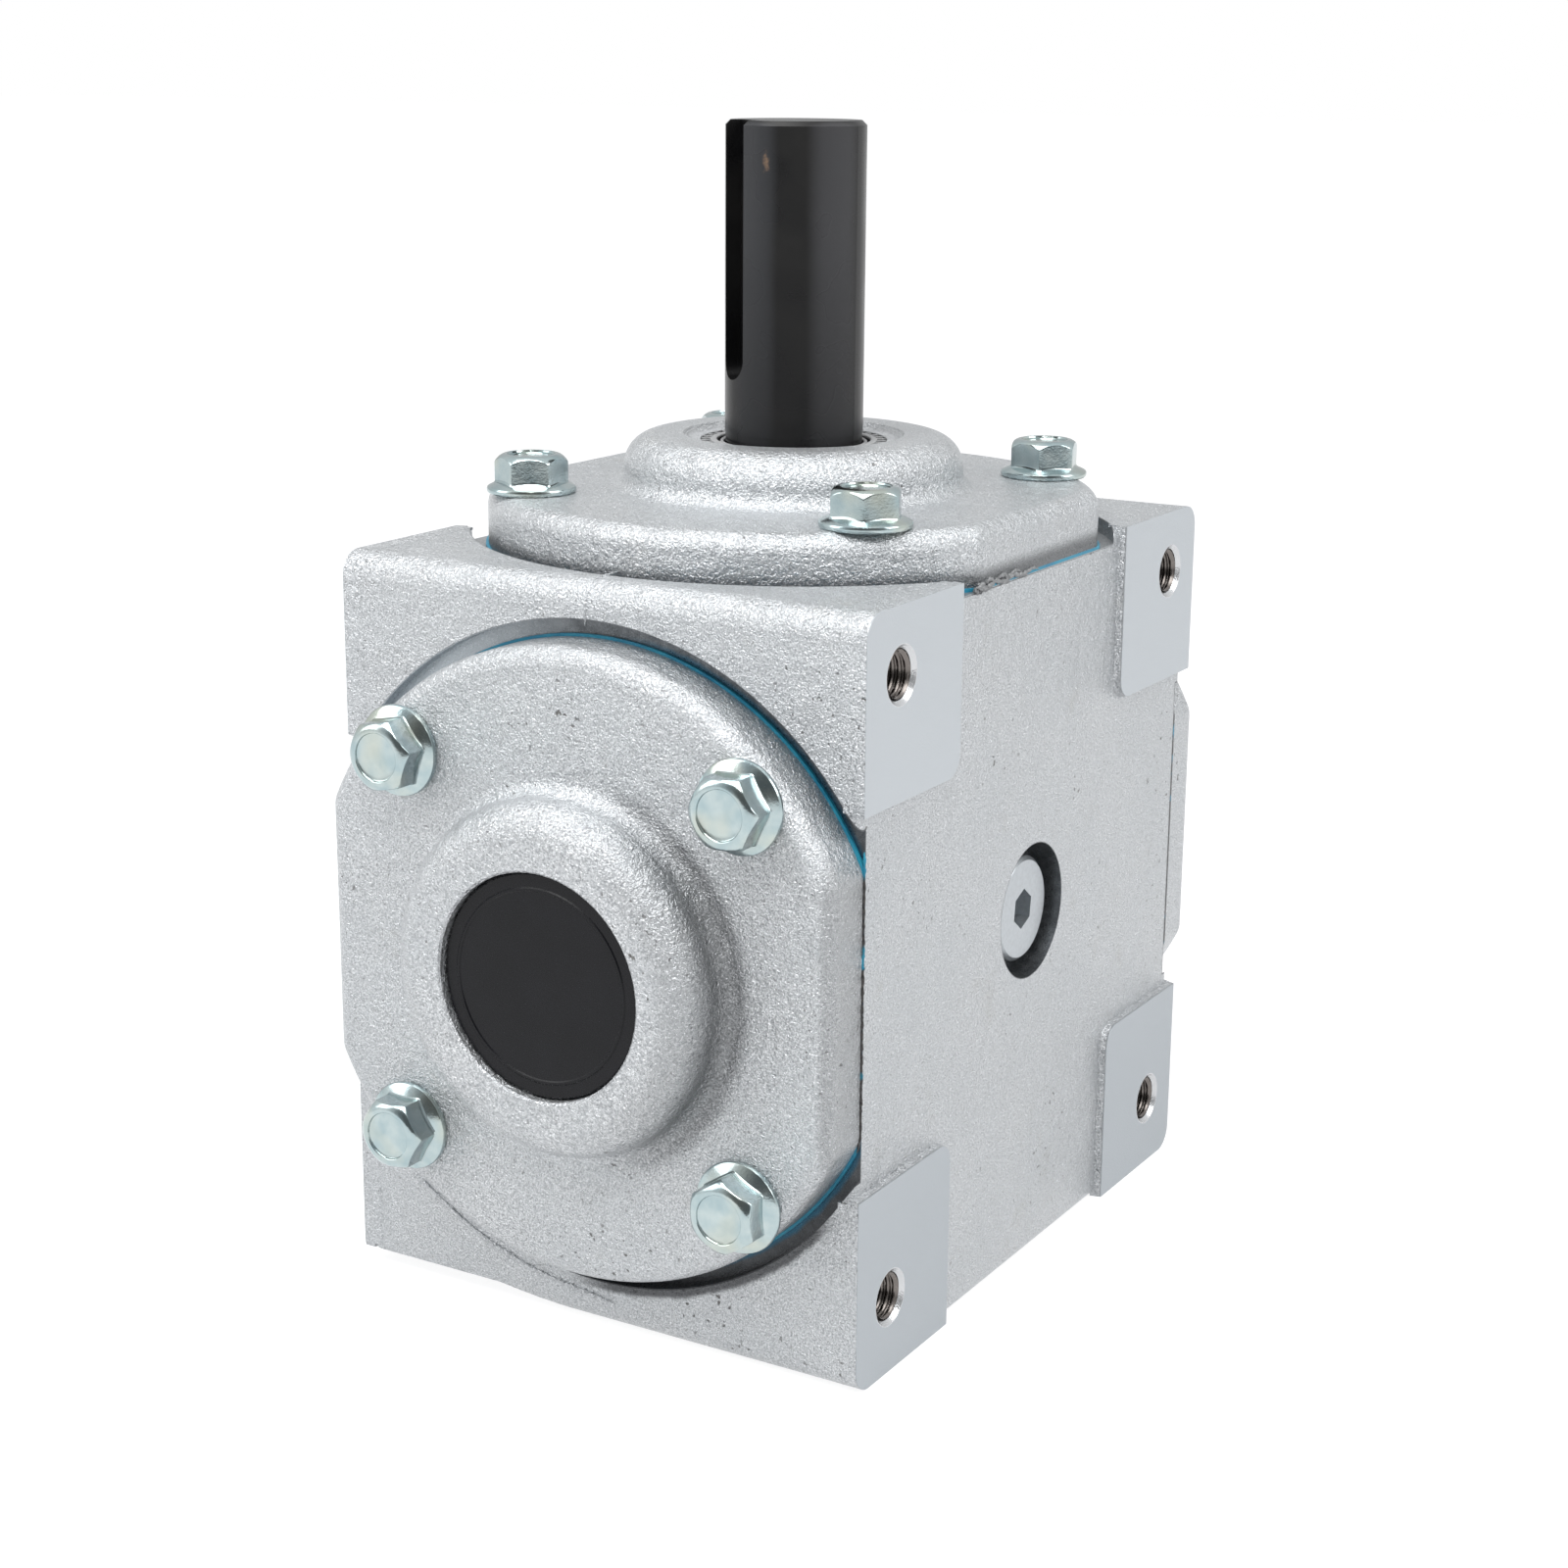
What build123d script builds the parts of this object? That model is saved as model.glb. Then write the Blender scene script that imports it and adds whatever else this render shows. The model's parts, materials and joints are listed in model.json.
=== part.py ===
"""Right angle gearbox: a vertical input shaft drives a horizontal output shaft through mitre bevel gears.

The shape is worked out about the point where the two shaft axes cross: Z runs up the input shaft,
Y runs back along the output shaft and X crosses the two mounting sides. The finished pieces are
then lifted, so that the part stands on Z = 0 with its origin under the input shaft.
"""
import math
import os

from build123d import *

# Housing casting
land_drop = 3.0             # the machined land lies lower than the corner blocks reach to the other sides
land_height = 4.0           # machined land below the as-cast underside
cast_half_width = 70.5      # as-cast sides
pad_rise = 2.0              # machined side pads above the as-cast sides
cast_edge_radius = 6.0      # edges along X
side_edge_radius = 3.0      # edges round the as-cast sides
pad_inner = 45.0            # pads start this far from the axes
pad_corner_radius = 6.0
pad_draft = 12.0            # degrees
land_ramp_start = -30.0     # the underside slopes down to the land between these
land_ramp_end = -4.0
land_rear_start = 10.0      # behind this the land is as wide as the housing
recess_depth = 4.0          # cover seats below the faces of the corner blocks
recess_gap = 3.9            # round the gasket
recess_cut = 20.0
chamber_radius = 55.0       # bores behind the three cover openings
core_radius = 76.0          # round core across the gears
core_half_width = 38.0

# Covers
gasket_thickness = 0.8
gasket_overhang = 0.7
flange_thickness = 14.2
flange_edge_radius = 4.5
flange_corner_radius = 7.0
boss_radius = 43.0
boss_rise = 13.0
boss_shoulder_radius = 8.0
boss_root_radius = 4.0
cover_spigot_length = 8.0
carrier_wall = 7.0          # sleeve that holds the inner bearing of the input shaft
carrier_end_gap = 1.5       # pinion back to sleeve
carrier_lip = 2.0           # sleeve end beyond its retaining ring

# Seals and caps
seal_bore_radius = 27.5
seal_bore_chamfer = 0.5
seal_width = 7.0
seal_depth = 3.5            # seal face below the boss face
seal_back_gap = 1.0         # seal to bearing
seal_groove_outer = 23.3    # open groove in the seal face
seal_groove_inner = 21.3
seal_groove_depth = 1.2
seal_ring_inner = 19.6      # raised ring round the dust lip
cap_width = 7.5
cap_depth = 2.0
cap_wall = 1.8
cap_chamfer = 0.8
cap_ring_radius = 23.2      # moulded ring on the cap face
cap_ring_rise = 0.25
cap_ring_half = 0.55
cap_ring_top_half = 0.25

# Cover bolts, M10 with a flange
bolt_spacing = 95.0
bolt_edge = 10.2            # bolt axes to the rim of the flange
bolt_radius = 5.0
bolt_length = 35.0
bolt_hole_depth = 28.0
bolt_hex = 16.0
bolt_head_height = 9.6
bolt_flange_radius = 11.15
bolt_flange_edge = 1.6
bolt_crown_radius = 6.9
bolt_crown_drop = 2.3
bolt_cone_rise = 1.4
cover_hole_radius = 5.5
front_bolt_turns = (41.0, 33.0, 31.0, 3.0)
top_bolt_turns = (44.0, 17.5, 3.0, 25.0)
rear_bolt_turns = (24.0, 50.0, 5.0, 33.0)

# Side mounting holes, M12
mount_edge = 16.0           # hole axes to the faces of the corner blocks
mount_hole_radius = 6.0
mount_hole_depth = 25.0
mount_chamfer = 1.0
mount_drill_radius = 5.1    # drilled through, tapped from both sides

# Oil plugs, M22
plug_recess_radius = 17.3
plug_recess_depth = 8.0
plug_thread_radius = 11.0
plug_length = 16.0
plug_collar_radius = 13.5
plug_collar_height = 4.0
plug_chamfer = 1.0
plug_hex = 9.0
plug_hex_depth = 6.0
plug_hex_turn = 83.0         # degrees
plug_tip_chamfer = 1.5
washer_thickness = 1.5

# Tapered roller bearings, 35 x 72 x 18.25
bearing_bore_radius = 17.5
bearing_outer_radius = 36.0
bearing_width = 18.25
cup_width = 15.0
cone_width = 17.0
roller_count = 17
roller_radius = 3.7         # at half length
roller_length = 12.0
roller_tilt = 12.0          # degrees between roller and shaft
roller_clearance = 0.03
roller_end_gap = 0.2
roller_sides = 12           # flats that stand for a roller's round
cone_rib_radius = 1.9       # rib at the big end, above the raceway
cone_lip = 0.8              # rib at the small end
track_relief = 0.05
cup_chamfer = 1.2
cone_chamfer = 1.0
cage_thickness = 0.9
cage_overhang = 1.1
cage_pocket_gap = 0.25

# Bevel gears
gear_module = 5.0
pinion_teeth = 19
gear_teeth = 19
pressure_angle = 20.0       # degrees
face_width = 22.0
addendum = 1.0              # in modules
dedendum = 1.25
tooth_thinning = 0.10       # off each flank at the big end, for backlash
flank_steps = 3
cutter_start = 0.93         # cutter ends, as shares of the tooth ends
cutter_end = 1.12
root_share = 0.62           # width of the space at its root
hub_front = 28.1            # small end hub faces
hub_front_wall = 7.0
hub_chamfer = 1.0
pinion_back = 56.0
gear_back = 60.0

# Shafts
shaft_radius = 17.5
shaft_free_length = 77.0    # beyond the boss
shaft_chamfer = 1.2
journal_radius = 17.3       # under the seal, so that bearing and seal slide over the end
journal_proud = 0.5         # beyond the boss
collar_radius = 22.0
collar_gap = 5.0            # input collar, between the two bearings
gear_seat_radius = 20.0
gear_seat_relief = 0.5
input_inner_end = 24.0
output_end_gap = 1.0        # front end of the output shaft behind its bearing's shoulder
end_key_length = 63.0
end_key_width = 10.0
end_key_depth = 5.0
input_key_turn = 237.0      # degrees about the shaft, from +X
output_key_turn = 237.0

# Keys under the gears
gear_key_height = 8.0
gear_key_depth = 5.0
pinion_key_length = 22.0
gear_key_length = 26.0
pinion_key_width = 10.0
output_key_width = 12.0
key_gap = 0.2

# Spacers and rings
spacer_wall = 4.5
ring_thickness = 1.5
ring_height = 3.4
ring_groove_depth = 1.1
bore_ring_thickness = 2.5
bore_ring_height = 5.0
ring_gap = 6.0

# Fits
slide_gap = 0.02            # radial, pieces pressed or slid together
running_gap = 0.05          # radial, shaft in seal
face_gap = 0.02             # between a hub and the ring that holds it

# Places along each shaft, from the crossing point outwards
carrier_end = pinion_back + carrier_end_gap
inner_shoulder = carrier_end + carrier_lip + bore_ring_thickness
inner_back_face = inner_shoulder + bearing_width
inner_cone_end = inner_back_face - cone_width
outer_back_face = inner_back_face + collar_gap
bearing_shoulder = outer_back_face + bearing_width
boss_top = bearing_shoulder + seal_back_gap + seal_width + seal_depth
flange_top = boss_top - boss_rise
flange_base = flange_top - flange_thickness
spigot_end = flange_base - cover_spigot_length
seat_reach = flange_base - gasket_thickness
journal_end = boss_top + journal_proud
shaft_reach = boss_top + shaft_free_length
output_inner_end = bearing_shoulder - output_end_gap

# Places on the covers and the housing
flange_radius = bolt_spacing / math.sqrt(2) + bolt_edge
gasket_radius = flange_radius + gasket_overhang
recess_radius = gasket_radius + recess_gap
block_reach = seat_reach + recess_depth
axis_height = block_reach + land_drop
cast_foot = axis_height - land_height
mount_spacing = 2 * (block_reach - mount_edge)
pad_half_width = cast_half_width + pad_rise
plug_seat = cast_half_width - plug_recess_depth
pinion_middle = (hub_front + pinion_back) / 2
gear_middle = (hub_front + gear_back) / 2
tiny = 0.01
far = 300.0

top_side = Plane.XY
front_side = Plane(origin=(0, 0, 0), x_dir=(1, 0, 0), z_dir=(0, -1, 0))
rear_side = Plane(origin=(0, 0, 0), x_dir=(1, 0, 0), z_dir=(0, 1, 0))
right_side = Plane(origin=(0, 0, 0), x_dir=(0, 1, 0), z_dir=(1, 0, 0))
left_side = Plane(origin=(0, 0, 0), x_dir=(0, -1, 0), z_dir=(-1, 0, 0))
bolt_places = [Pos(x * bolt_spacing / 2, y * bolt_spacing / 2) for y in (1, -1) for x in (-1, 1)]
mount_places = [Pos(x * mount_spacing / 2, y * mount_spacing / 2) for y in (1, -1) for x in (-1, 1)]


def ring(outer, inner, start, end):
    """A plain ring about Z."""
    tube = Pos(0, 0, (start + end) / 2) * Cylinder(outer, end - start)
    if inner > 0:
        tube -= Pos(0, 0, (start + end) / 2) * Cylinder(inner, end - start + 2)
    return tube


def disc(radius, start, end):
    """A plain cylinder about Z."""
    return ring(radius, 0, start, end)


def turned(points, rounds=()):
    """Revolve an outline of (radius, height) points about Z, with rounded corners (radius, height, round)."""
    face = make_face(Polyline(*points, close=True))
    for r, h, size in rounds:
        face = fillet(face.vertices().sort_by_distance((r, h))[:1], size)
    return revolve(Plane.XZ * face, Axis.Z, 360)


def group(places, piece):
    return [place * piece for place in places]


# Housing


def side_outline():
    """The housing seen from +X, with rounded casting edges."""
    outline = RectangleRounded(2 * block_reach, block_reach + axis_height, cast_edge_radius)
    return Plane.YZ * Pos(0, (block_reach - axis_height) / 2) * outline


def corner_pads(side):
    """Four raised pads on one mounting side, with drafted flanks."""
    size = 2 * block_reach
    start = cast_half_width - 1.0
    rise = pad_rise + 1.0
    pads = []
    for y in (-1, 1):
        for z in (-1, 1):
            outline = Pos(y * (pad_inner + size / 2), z * (pad_inner + size / 2))
            outline *= RectangleRounded(size, size, pad_corner_radius)
            pads.append(side * (Pos(0, 0, start) * extrude(outline, rise, taper=pad_draft)))
    return pads


def underside_relief():
    """Space beside the front part of the land, where the underside stays as cast."""
    below = -axis_height - 10
    wall = -pad_half_width - 10
    slope = [
        (wall, below),
        (wall, -cast_foot),
        (land_ramp_start, -cast_foot),
        (land_ramp_end, -axis_height),
        (land_ramp_end, below),
    ]
    start = Plane(origin=(0, land_rear_start, 0), x_dir=(1, 0, 0), z_dir=(0, -1, 0))
    face = start * make_face(Polyline(*slope, close=True))
    return extrude(face, block_reach + land_rear_start + 10)


def make_housing():
    envelope = extrude(side_outline(), pad_half_width, both=True)
    body = extrude(side_outline(), cast_half_width, both=True)
    ends = body.edges().filter_by(lambda e: abs(abs(e.center().X) - cast_half_width) < tiny)
    body = fillet(ends, side_edge_radius)
    for side in (right_side, left_side):
        for pad in corner_pads(side):
            body += envelope & pad
    body -= underside_relief()

    chamber = disc(chamber_radius, 0, seat_reach + 1)
    chamber += front_side * disc(chamber_radius, -seat_reach - 1, seat_reach + 1)
    chamber += right_side * disc(core_radius, -core_half_width, core_half_width)
    body -= chamber

    for side in (top_side, front_side, rear_side):
        body -= side * disc(recess_radius, seat_reach, seat_reach + recess_cut)
        hole = disc(bolt_radius, seat_reach - bolt_hole_depth, seat_reach + 1)
        for place in bolt_places:
            body -= side * (place * hole)

    tapped = turned([
        (0, 0),
        (mount_drill_radius, 0),
        (mount_drill_radius, pad_half_width - mount_hole_depth),
        (mount_hole_radius, pad_half_width - mount_hole_depth),
        (mount_hole_radius, pad_half_width - mount_chamfer),
        (mount_hole_radius + mount_chamfer + 1, pad_half_width + 1),
        (0, pad_half_width + 1),
    ])
    plug_room = disc(plug_recess_radius, plug_seat, pad_half_width)
    plug_room += disc(plug_thread_radius, core_half_width - 1, pad_half_width)
    for side in (right_side, left_side):
        body -= side * plug_room
        for place in mount_places:
            body -= side * (place * tapped)
    return body


# Covers


def flange_plate(radius, corner, start, end):
    """A round plate with a flat on each mounting side that it would stand out of."""
    outline = Circle(radius)
    if cast_half_width < radius:
        outline = fillet((outline & Rectangle(2 * cast_half_width, 2 * radius)).vertices(), corner)
    return Pos(0, 0, start) * extrude(outline, end - start)


def make_cover(carrier=False):
    plate = flange_plate(flange_radius, flange_corner_radius, flange_base, flange_top)
    rim = plate.faces().sort_by(Axis.Z)[-1].edges()
    plate = fillet(rim, flange_edge_radius)

    inner_end = carrier_end if carrier else spigot_end
    spigot_radius = chamber_radius - slide_gap
    boss = turned(
        [
            (bearing_outer_radius, spigot_end),
            (spigot_radius, spigot_end),
            (spigot_radius, flange_base + 1),
            (boss_radius + boss_root_radius + 2, flange_base + 1),
            (boss_radius + boss_root_radius + 2, flange_top),
            (boss_radius, flange_top),
            (boss_radius, boss_top),
            (seal_bore_radius, boss_top),
            (seal_bore_radius, bearing_shoulder),
            (bearing_outer_radius, bearing_shoulder),
        ],
        [(boss_radius, flange_top, boss_root_radius), (boss_radius, boss_top, boss_shoulder_radius)],
    )
    cover = plate - disc(boss_radius, flange_base - 1, boss_top) + boss
    if carrier:
        cover += ring(bearing_outer_radius + carrier_wall, bearing_outer_radius, inner_end, spigot_end + 1)
        groove_top = inner_shoulder
        groove_radius = bearing_outer_radius + bore_ring_height / 2
        cover -= ring(groove_radius, bearing_outer_radius - 1, groove_top - bore_ring_thickness, groove_top)
    chamfer = turned([
        (seal_bore_radius, boss_top - seal_bore_chamfer),
        (seal_bore_radius + seal_bore_chamfer + tiny, boss_top + tiny),
        (seal_bore_radius - 1, boss_top + tiny),
        (seal_bore_radius - 1, boss_top - seal_bore_chamfer),
    ])
    cover -= chamfer
    for place in bolt_places:
        cover -= place * disc(cover_hole_radius, flange_base - 1, flange_top + 1)
    return cover


def make_gasket():
    gasket = flange_plate(gasket_radius, flange_corner_radius, seat_reach, flange_base)
    gasket -= disc(chamber_radius, seat_reach - 1, flange_base + 1)
    for place in bolt_places:
        gasket -= place * disc(cover_hole_radius, seat_reach - 1, flange_base + 1)
    return gasket


def make_bolt():
    """A flange bolt that stands on Z = 0, with its shank below."""
    corner = bolt_hex / math.sqrt(3)
    shank = bolt_radius - slide_gap
    cone_top = bolt_flange_edge + bolt_cone_rise
    flange = turned([
        (0, -bolt_length),
        (shank, -bolt_length),
        (shank, 0),
        (bolt_flange_radius, 0),
        (bolt_flange_radius, bolt_flange_edge),
        (corner - 0.5, cone_top),
        (0, cone_top),
    ])
    hexagon = extrude(RegularPolygon(corner, 6), bolt_head_height)
    rounding = turned([
        (0, 0),
        (corner + 1, 0),
        (corner + 1, bolt_head_height - bolt_crown_drop),
        (bolt_crown_radius, bolt_head_height),
        (0, bolt_head_height),
    ])
    return flange + (hexagon & rounding)


def make_bolts(turns):
    bolt = make_bolt()
    lifted = [place * Pos(0, 0, flange_top) * Rot(0, 0, turn) for place, turn in zip(bolt_places, turns)]
    return group(lifted, bolt)


# Seals, cap and plugs


def make_seal():
    """A rotary shaft seal with its lip on the shaft and an open groove to the outside."""
    top = boss_top - seal_depth
    base = top - seal_width
    outer = seal_bore_radius - slide_gap
    lip = journal_radius + running_gap
    return turned([
        (outer, base),
        (outer, top - 0.5),
        (outer - 0.5, top),
        (seal_groove_outer, top),
        (seal_groove_outer - 0.2, top - seal_groove_depth),
        (seal_groove_inner + 0.2, top - seal_groove_depth),
        (seal_groove_inner, top),
        (seal_ring_inner, top),
        (lip + 0.4, top - 1.7),
        (lip, top - 2.2),
        (lip + 1.2, base + 1.0),
        (lip + 1.2, base),
        (lip + 3.4, base),
        (lip + 3.4, top - 3.0),
        (outer - 2.0, top - 3.0),
        (outer - 2.0, base),
    ])


def make_end_cap():
    """A pressed-in cap with a shallow moulded ring on its face."""
    top = boss_top - cap_depth
    outer = seal_bore_radius - slide_gap
    return turned([
        (0, top),
        (cap_ring_radius - cap_ring_half, top),
        (cap_ring_radius - cap_ring_top_half, top + cap_ring_rise),
        (cap_ring_radius + cap_ring_top_half, top + cap_ring_rise),
        (cap_ring_radius + cap_ring_half, top),
        (outer - cap_chamfer, top),
        (outer, top - cap_chamfer),
        (outer, top - cap_width),
        (outer - cap_wall, top - cap_width),
        (outer - cap_wall, top - cap_wall),
        (0, top - cap_wall),
    ])


def make_washer():
    return ring(plug_collar_radius, plug_thread_radius + slide_gap, plug_seat, plug_seat + washer_thickness)


def make_plug():
    base = plug_seat + washer_thickness
    thread = plug_thread_radius - slide_gap
    plug = turned([
        (0, base - plug_length),
        (thread - plug_tip_chamfer, base - plug_length),
        (thread, base - plug_length + plug_tip_chamfer),
        (thread, base),
        (plug_collar_radius, base),
        (plug_collar_radius, base + plug_collar_height - plug_chamfer),
        (plug_collar_radius - plug_chamfer, base + plug_collar_height),
        (0, base + plug_collar_height),
    ])
    socket = extrude(RegularPolygon(plug_hex / math.sqrt(3), 6), plug_hex_depth + 1)
    place = Pos(0, 0, base + plug_collar_height - plug_hex_depth) * Rot(0, 0, plug_hex_turn)
    return plug - place * socket


# Bearings, with the shaft pushing towards +Z against the cup


def bearing_cone_line(angle):
    """Radius of a cone about Z with its point where the roller axes meet, as a function of height."""
    middle = -cup_width / 2
    apex = middle + pitch_radius() / math.tan(math.radians(roller_tilt))
    return lambda h: (apex - h) * math.tan(math.radians(angle))


def pitch_radius():
    return (bearing_bore_radius + bearing_outer_radius) / 2


def roller_half_angle():
    return math.degrees(math.asin(roller_radius / (pitch_radius() / math.sin(math.radians(roller_tilt)))))


def make_cup():
    """Outer ring, with its thick face on Z = 0."""
    track = bearing_cone_line(roller_tilt + roller_half_angle())
    outer = bearing_outer_radius - slide_gap
    return turned([
        (outer, -cup_width + cup_chamfer),
        (outer, -cup_chamfer),
        (outer - cup_chamfer, 0),
        (track(0), 0),
        (track(-cup_width), -cup_width),
        (outer - cup_chamfer, -cup_width),
    ])


def make_cone():
    """Inner ring, with its big rib at Z = -bearing_width."""
    track = bearing_cone_line(roller_tilt - roller_half_angle())
    tilt = math.radians(roller_tilt)
    half = roller_length / 2 * math.cos(tilt)
    middle = -cup_width / 2
    low = middle - half - roller_radius * math.sin(tilt) - roller_end_gap
    high = middle + half + roller_end_gap
    inner = bearing_bore_radius + slide_gap
    base = -bearing_width
    end = base + cone_width
    return turned([
        (inner, base + cone_chamfer),
        (inner + cone_chamfer, base),
        (track(low) + cone_rib_radius, base),
        (track(low) + cone_rib_radius, low),
        (track(low) - track_relief, low),
        (track(high) - track_relief, high),
        (track(high) + cone_lip, high),
        (track(high) + cone_lip, end),
        (inner + cone_chamfer, end),
        (inner, end - cone_chamfer),
    ])


def roller_body():
    """One tapered roller about its own Z, with its cone point on +Z."""
    half = roller_length / 2
    slope = math.tan(math.radians(roller_half_angle()))
    big = roller_radius + half * slope - roller_clearance
    outline = RegularPolygon(big, roller_sides)
    return Pos(0, 0, -half) * extrude(outline, roller_length, taper=roller_half_angle())


def roller_places():
    middle = -cup_width / 2
    tilt = Pos(pitch_radius(), 0, middle) * Rot(0, -roller_tilt, 0)
    return [Rot(0, 0, 360 * i / roller_count) * tilt for i in range(roller_count)]


def make_rollers():
    return group(roller_places(), roller_body())


def make_cage():
    """A pressed ring between the races, with a flat and a pocket for each roller."""
    half = (roller_length / 2 + cage_overhang) * math.cos(math.radians(roller_tilt))
    base = Pos(0, 0, -cup_width / 2 - half) * Rot(0, 0, 180 / roller_count)
    flat = bearing_cone_line(roller_tilt)(-cup_width / 2 - half)

    def shell(reach):
        outline = RegularPolygon(reach, roller_count, major_radius=False)
        return base * extrude(outline, 2 * half, taper=roller_tilt)

    cage = shell(flat + cage_thickness / 2) - shell(flat - cage_thickness / 2)
    width = 2 * (roller_radius + cage_pocket_gap)
    pocket = Box(4 * cage_thickness + 2, width, roller_length + 2 * cage_pocket_gap)
    for place in roller_places():
        cage -= place * pocket
    return cage


# Bevel gears, with the cone point at the origin and the axis along Z


def pitch_cone(teeth, mate):
    """Pitch cone angle in radians and length of the cone."""
    return math.atan2(teeth, mate), gear_module / 2 * math.hypot(teeth, mate)


def tooth_space(teeth, mate):
    """A tapered cutter for one tooth space, centred on +X, with every flank pointing at the origin."""
    angle, reach = pitch_cone(teeth, mate)
    alpha = math.radians(pressure_angle)
    radius = reach * math.tan(angle)
    base = radius * math.cos(alpha)
    root = radius - dedendum * gear_module
    tip = radius + addendum * gear_module
    quarter = math.pi * gear_module / 4

    def half_space(rho):
        """Half the width of the space, as an angle on the unrolled back cone."""
        turn = math.acos(min(1.0, base / rho))
        opened = (math.tan(turn) - turn) - (math.tan(alpha) - alpha)
        return (quarter + tooth_thinning) / radius + opened

    low = max(base, root + 0.3 * gear_module)
    flank = [low + (tip - low) * i / flank_steps for i in range(flank_steps + 1)]
    outline = [(rho, half_space(rho)) for rho in flank]
    outline.insert(0, (root, root_share * half_space(low)))
    outline.append((tip + 0.5 * gear_module, half_space(tip) * 1.15))
    outline = [(rho, -turn) for rho, turn in reversed(outline)] + outline

    middle = Vector(math.sin(angle), 0, math.cos(angle))
    back_point = reach / math.cos(angle)
    rays = []
    for rho, turn in outline:
        azimuth = turn / math.cos(angle)
        r = rho * math.cos(angle)
        point = Vector(r * math.cos(azimuth), r * math.sin(azimuth), back_point - rho * math.sin(angle))
        rays.append(point / point.dot(middle))

    near = [ray * (reach - face_width) * cutter_start for ray in rays]
    beyond = [ray * reach * cutter_end for ray in rays]
    count = len(rays)
    faces = [Face(Wire.make_polygon(near)), Face(Wire.make_polygon(beyond))]
    for i in range(count):
        j = (i + 1) % count
        faces.append(Face(Wire.make_polygon([near[i], near[j], beyond[j], beyond[i]])))
    return Solid(Shell(faces))


def bevel_gear(teeth, mate, bore, back, key_width, first_tooth):
    """A straight bevel gear with a keyed hub, one tooth centred at first_tooth degrees."""
    angle, reach = pitch_cone(teeth, mate)
    small = (reach - face_width) / reach

    def on_back_cone(scale, depth):
        r = scale * reach * math.sin(angle) - depth * math.cos(angle)
        return r, scale * reach * math.cos(angle) + depth * math.sin(angle)

    tip_depth = -addendum * gear_module
    hub = bore + hub_front_wall
    front_depth = (small * reach * math.sin(angle) - hub) / math.cos(angle)
    back_depth = (back - reach * math.cos(angle)) / math.sin(angle)
    inner = bore + slide_gap
    body = turned([
        (inner, hub_front + hub_chamfer),
        (inner + hub_chamfer, hub_front),
        (hub, hub_front),
        on_back_cone(small, front_depth),
        on_back_cone(small, tip_depth * small),
        on_back_cone(1, tip_depth),
        on_back_cone(1, back_depth),
        (inner + hub_chamfer, back),
        (inner, back - hub_chamfer),
    ])
    cutter = tooth_space(teeth, mate)
    pitch = 360 / teeth
    cutters = [Rot(0, 0, first_tooth + pitch * (i + 0.5)) * cutter for i in range(teeth)]
    body -= cutters
    slot_top = bore - gear_key_depth + gear_key_height + key_gap
    middle = (hub_front + back) / 2
    slot = Box(slot_top, key_width + 2 * slide_gap, far)
    return body - Pos(slot_top / 2, 0, middle) * slot


def make_key(radius, width, length, middle):
    """A parallel key with round ends, in the shaft at angle 0."""
    key = extrude(SlotOverall(length, width), gear_key_height)
    base = radius - gear_key_depth
    return Pos(base, 0, middle) * Rot(0, 90, 0) * key


def key_seat(radius, width, length, middle):
    """Room for a key in the shaft, as deep as the key's own seat."""
    seat = extrude(SlotOverall(length + 2 * slide_gap, width + 2 * slide_gap), gear_key_height)
    return Pos(radius - gear_key_depth, 0, middle) * Rot(0, 90, 0) * seat


# Shafts, along Z with the driven or driving end up


def end_keyway(turn):
    """A keyway that runs out of the shaft end and stops in a round end."""
    start = shaft_reach - end_key_length + end_key_width / 2
    length = end_key_length - end_key_width / 2 + 2
    depth = shaft_radius - end_key_depth
    slot = Pos(depth + shaft_radius / 2, 0, start + length / 2) * Box(shaft_radius, end_key_width, length)
    round_end = Pos(depth + shaft_radius / 2, 0, start) * Rot(0, 90, 0)
    slot += round_end * Cylinder(end_key_width / 2, shaft_radius)
    return Rot(0, 0, turn) * slot


def make_input_shaft():
    groove_low = hub_front - face_gap - ring_thickness
    groove_high = outer_back_face + cone_width + face_gap
    shaft = turned([
        (0, input_inner_end),
        (shaft_radius - shaft_chamfer, input_inner_end),
        (shaft_radius, input_inner_end + shaft_chamfer),
        (shaft_radius, inner_back_face),
        (collar_radius, inner_back_face),
        (collar_radius, outer_back_face),
        (shaft_radius, outer_back_face),
        (shaft_radius, shaft_reach - shaft_chamfer),
        (shaft_radius - shaft_chamfer, shaft_reach),
        (0, shaft_reach),
    ])
    groove_radius = shaft_radius - ring_groove_depth
    for base in (groove_low, groove_high):
        shaft -= ring(shaft_radius + 1, groove_radius, base, base + ring_thickness)
    shaft -= ring(shaft_radius + 1, journal_radius, groove_high + ring_thickness, journal_end)
    shaft -= end_keyway(input_key_turn)
    return shaft - key_seat(shaft_radius, pinion_key_width, pinion_key_length, pinion_middle)


def make_output_shaft():
    shaft = turned([
        (0, -output_inner_end),
        (shaft_radius - shaft_chamfer, -output_inner_end),
        (shaft_radius, -output_inner_end + shaft_chamfer),
        (shaft_radius, -outer_back_face),
        (collar_radius, -outer_back_face),
        (collar_radius, hub_front),
        (gear_seat_radius, hub_front),
        (gear_seat_radius, gear_back - gear_seat_relief),
        (shaft_radius, gear_back - gear_seat_relief),
        (shaft_radius, shaft_reach - shaft_chamfer),
        (shaft_radius - shaft_chamfer, shaft_reach),
        (0, shaft_reach),
    ])
    shaft -= ring(shaft_radius + 1, journal_radius, outer_back_face + cone_width + face_gap, journal_end)
    shaft -= end_keyway(output_key_turn)
    return shaft - key_seat(gear_seat_radius, output_key_width, gear_key_length, gear_middle)


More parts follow.
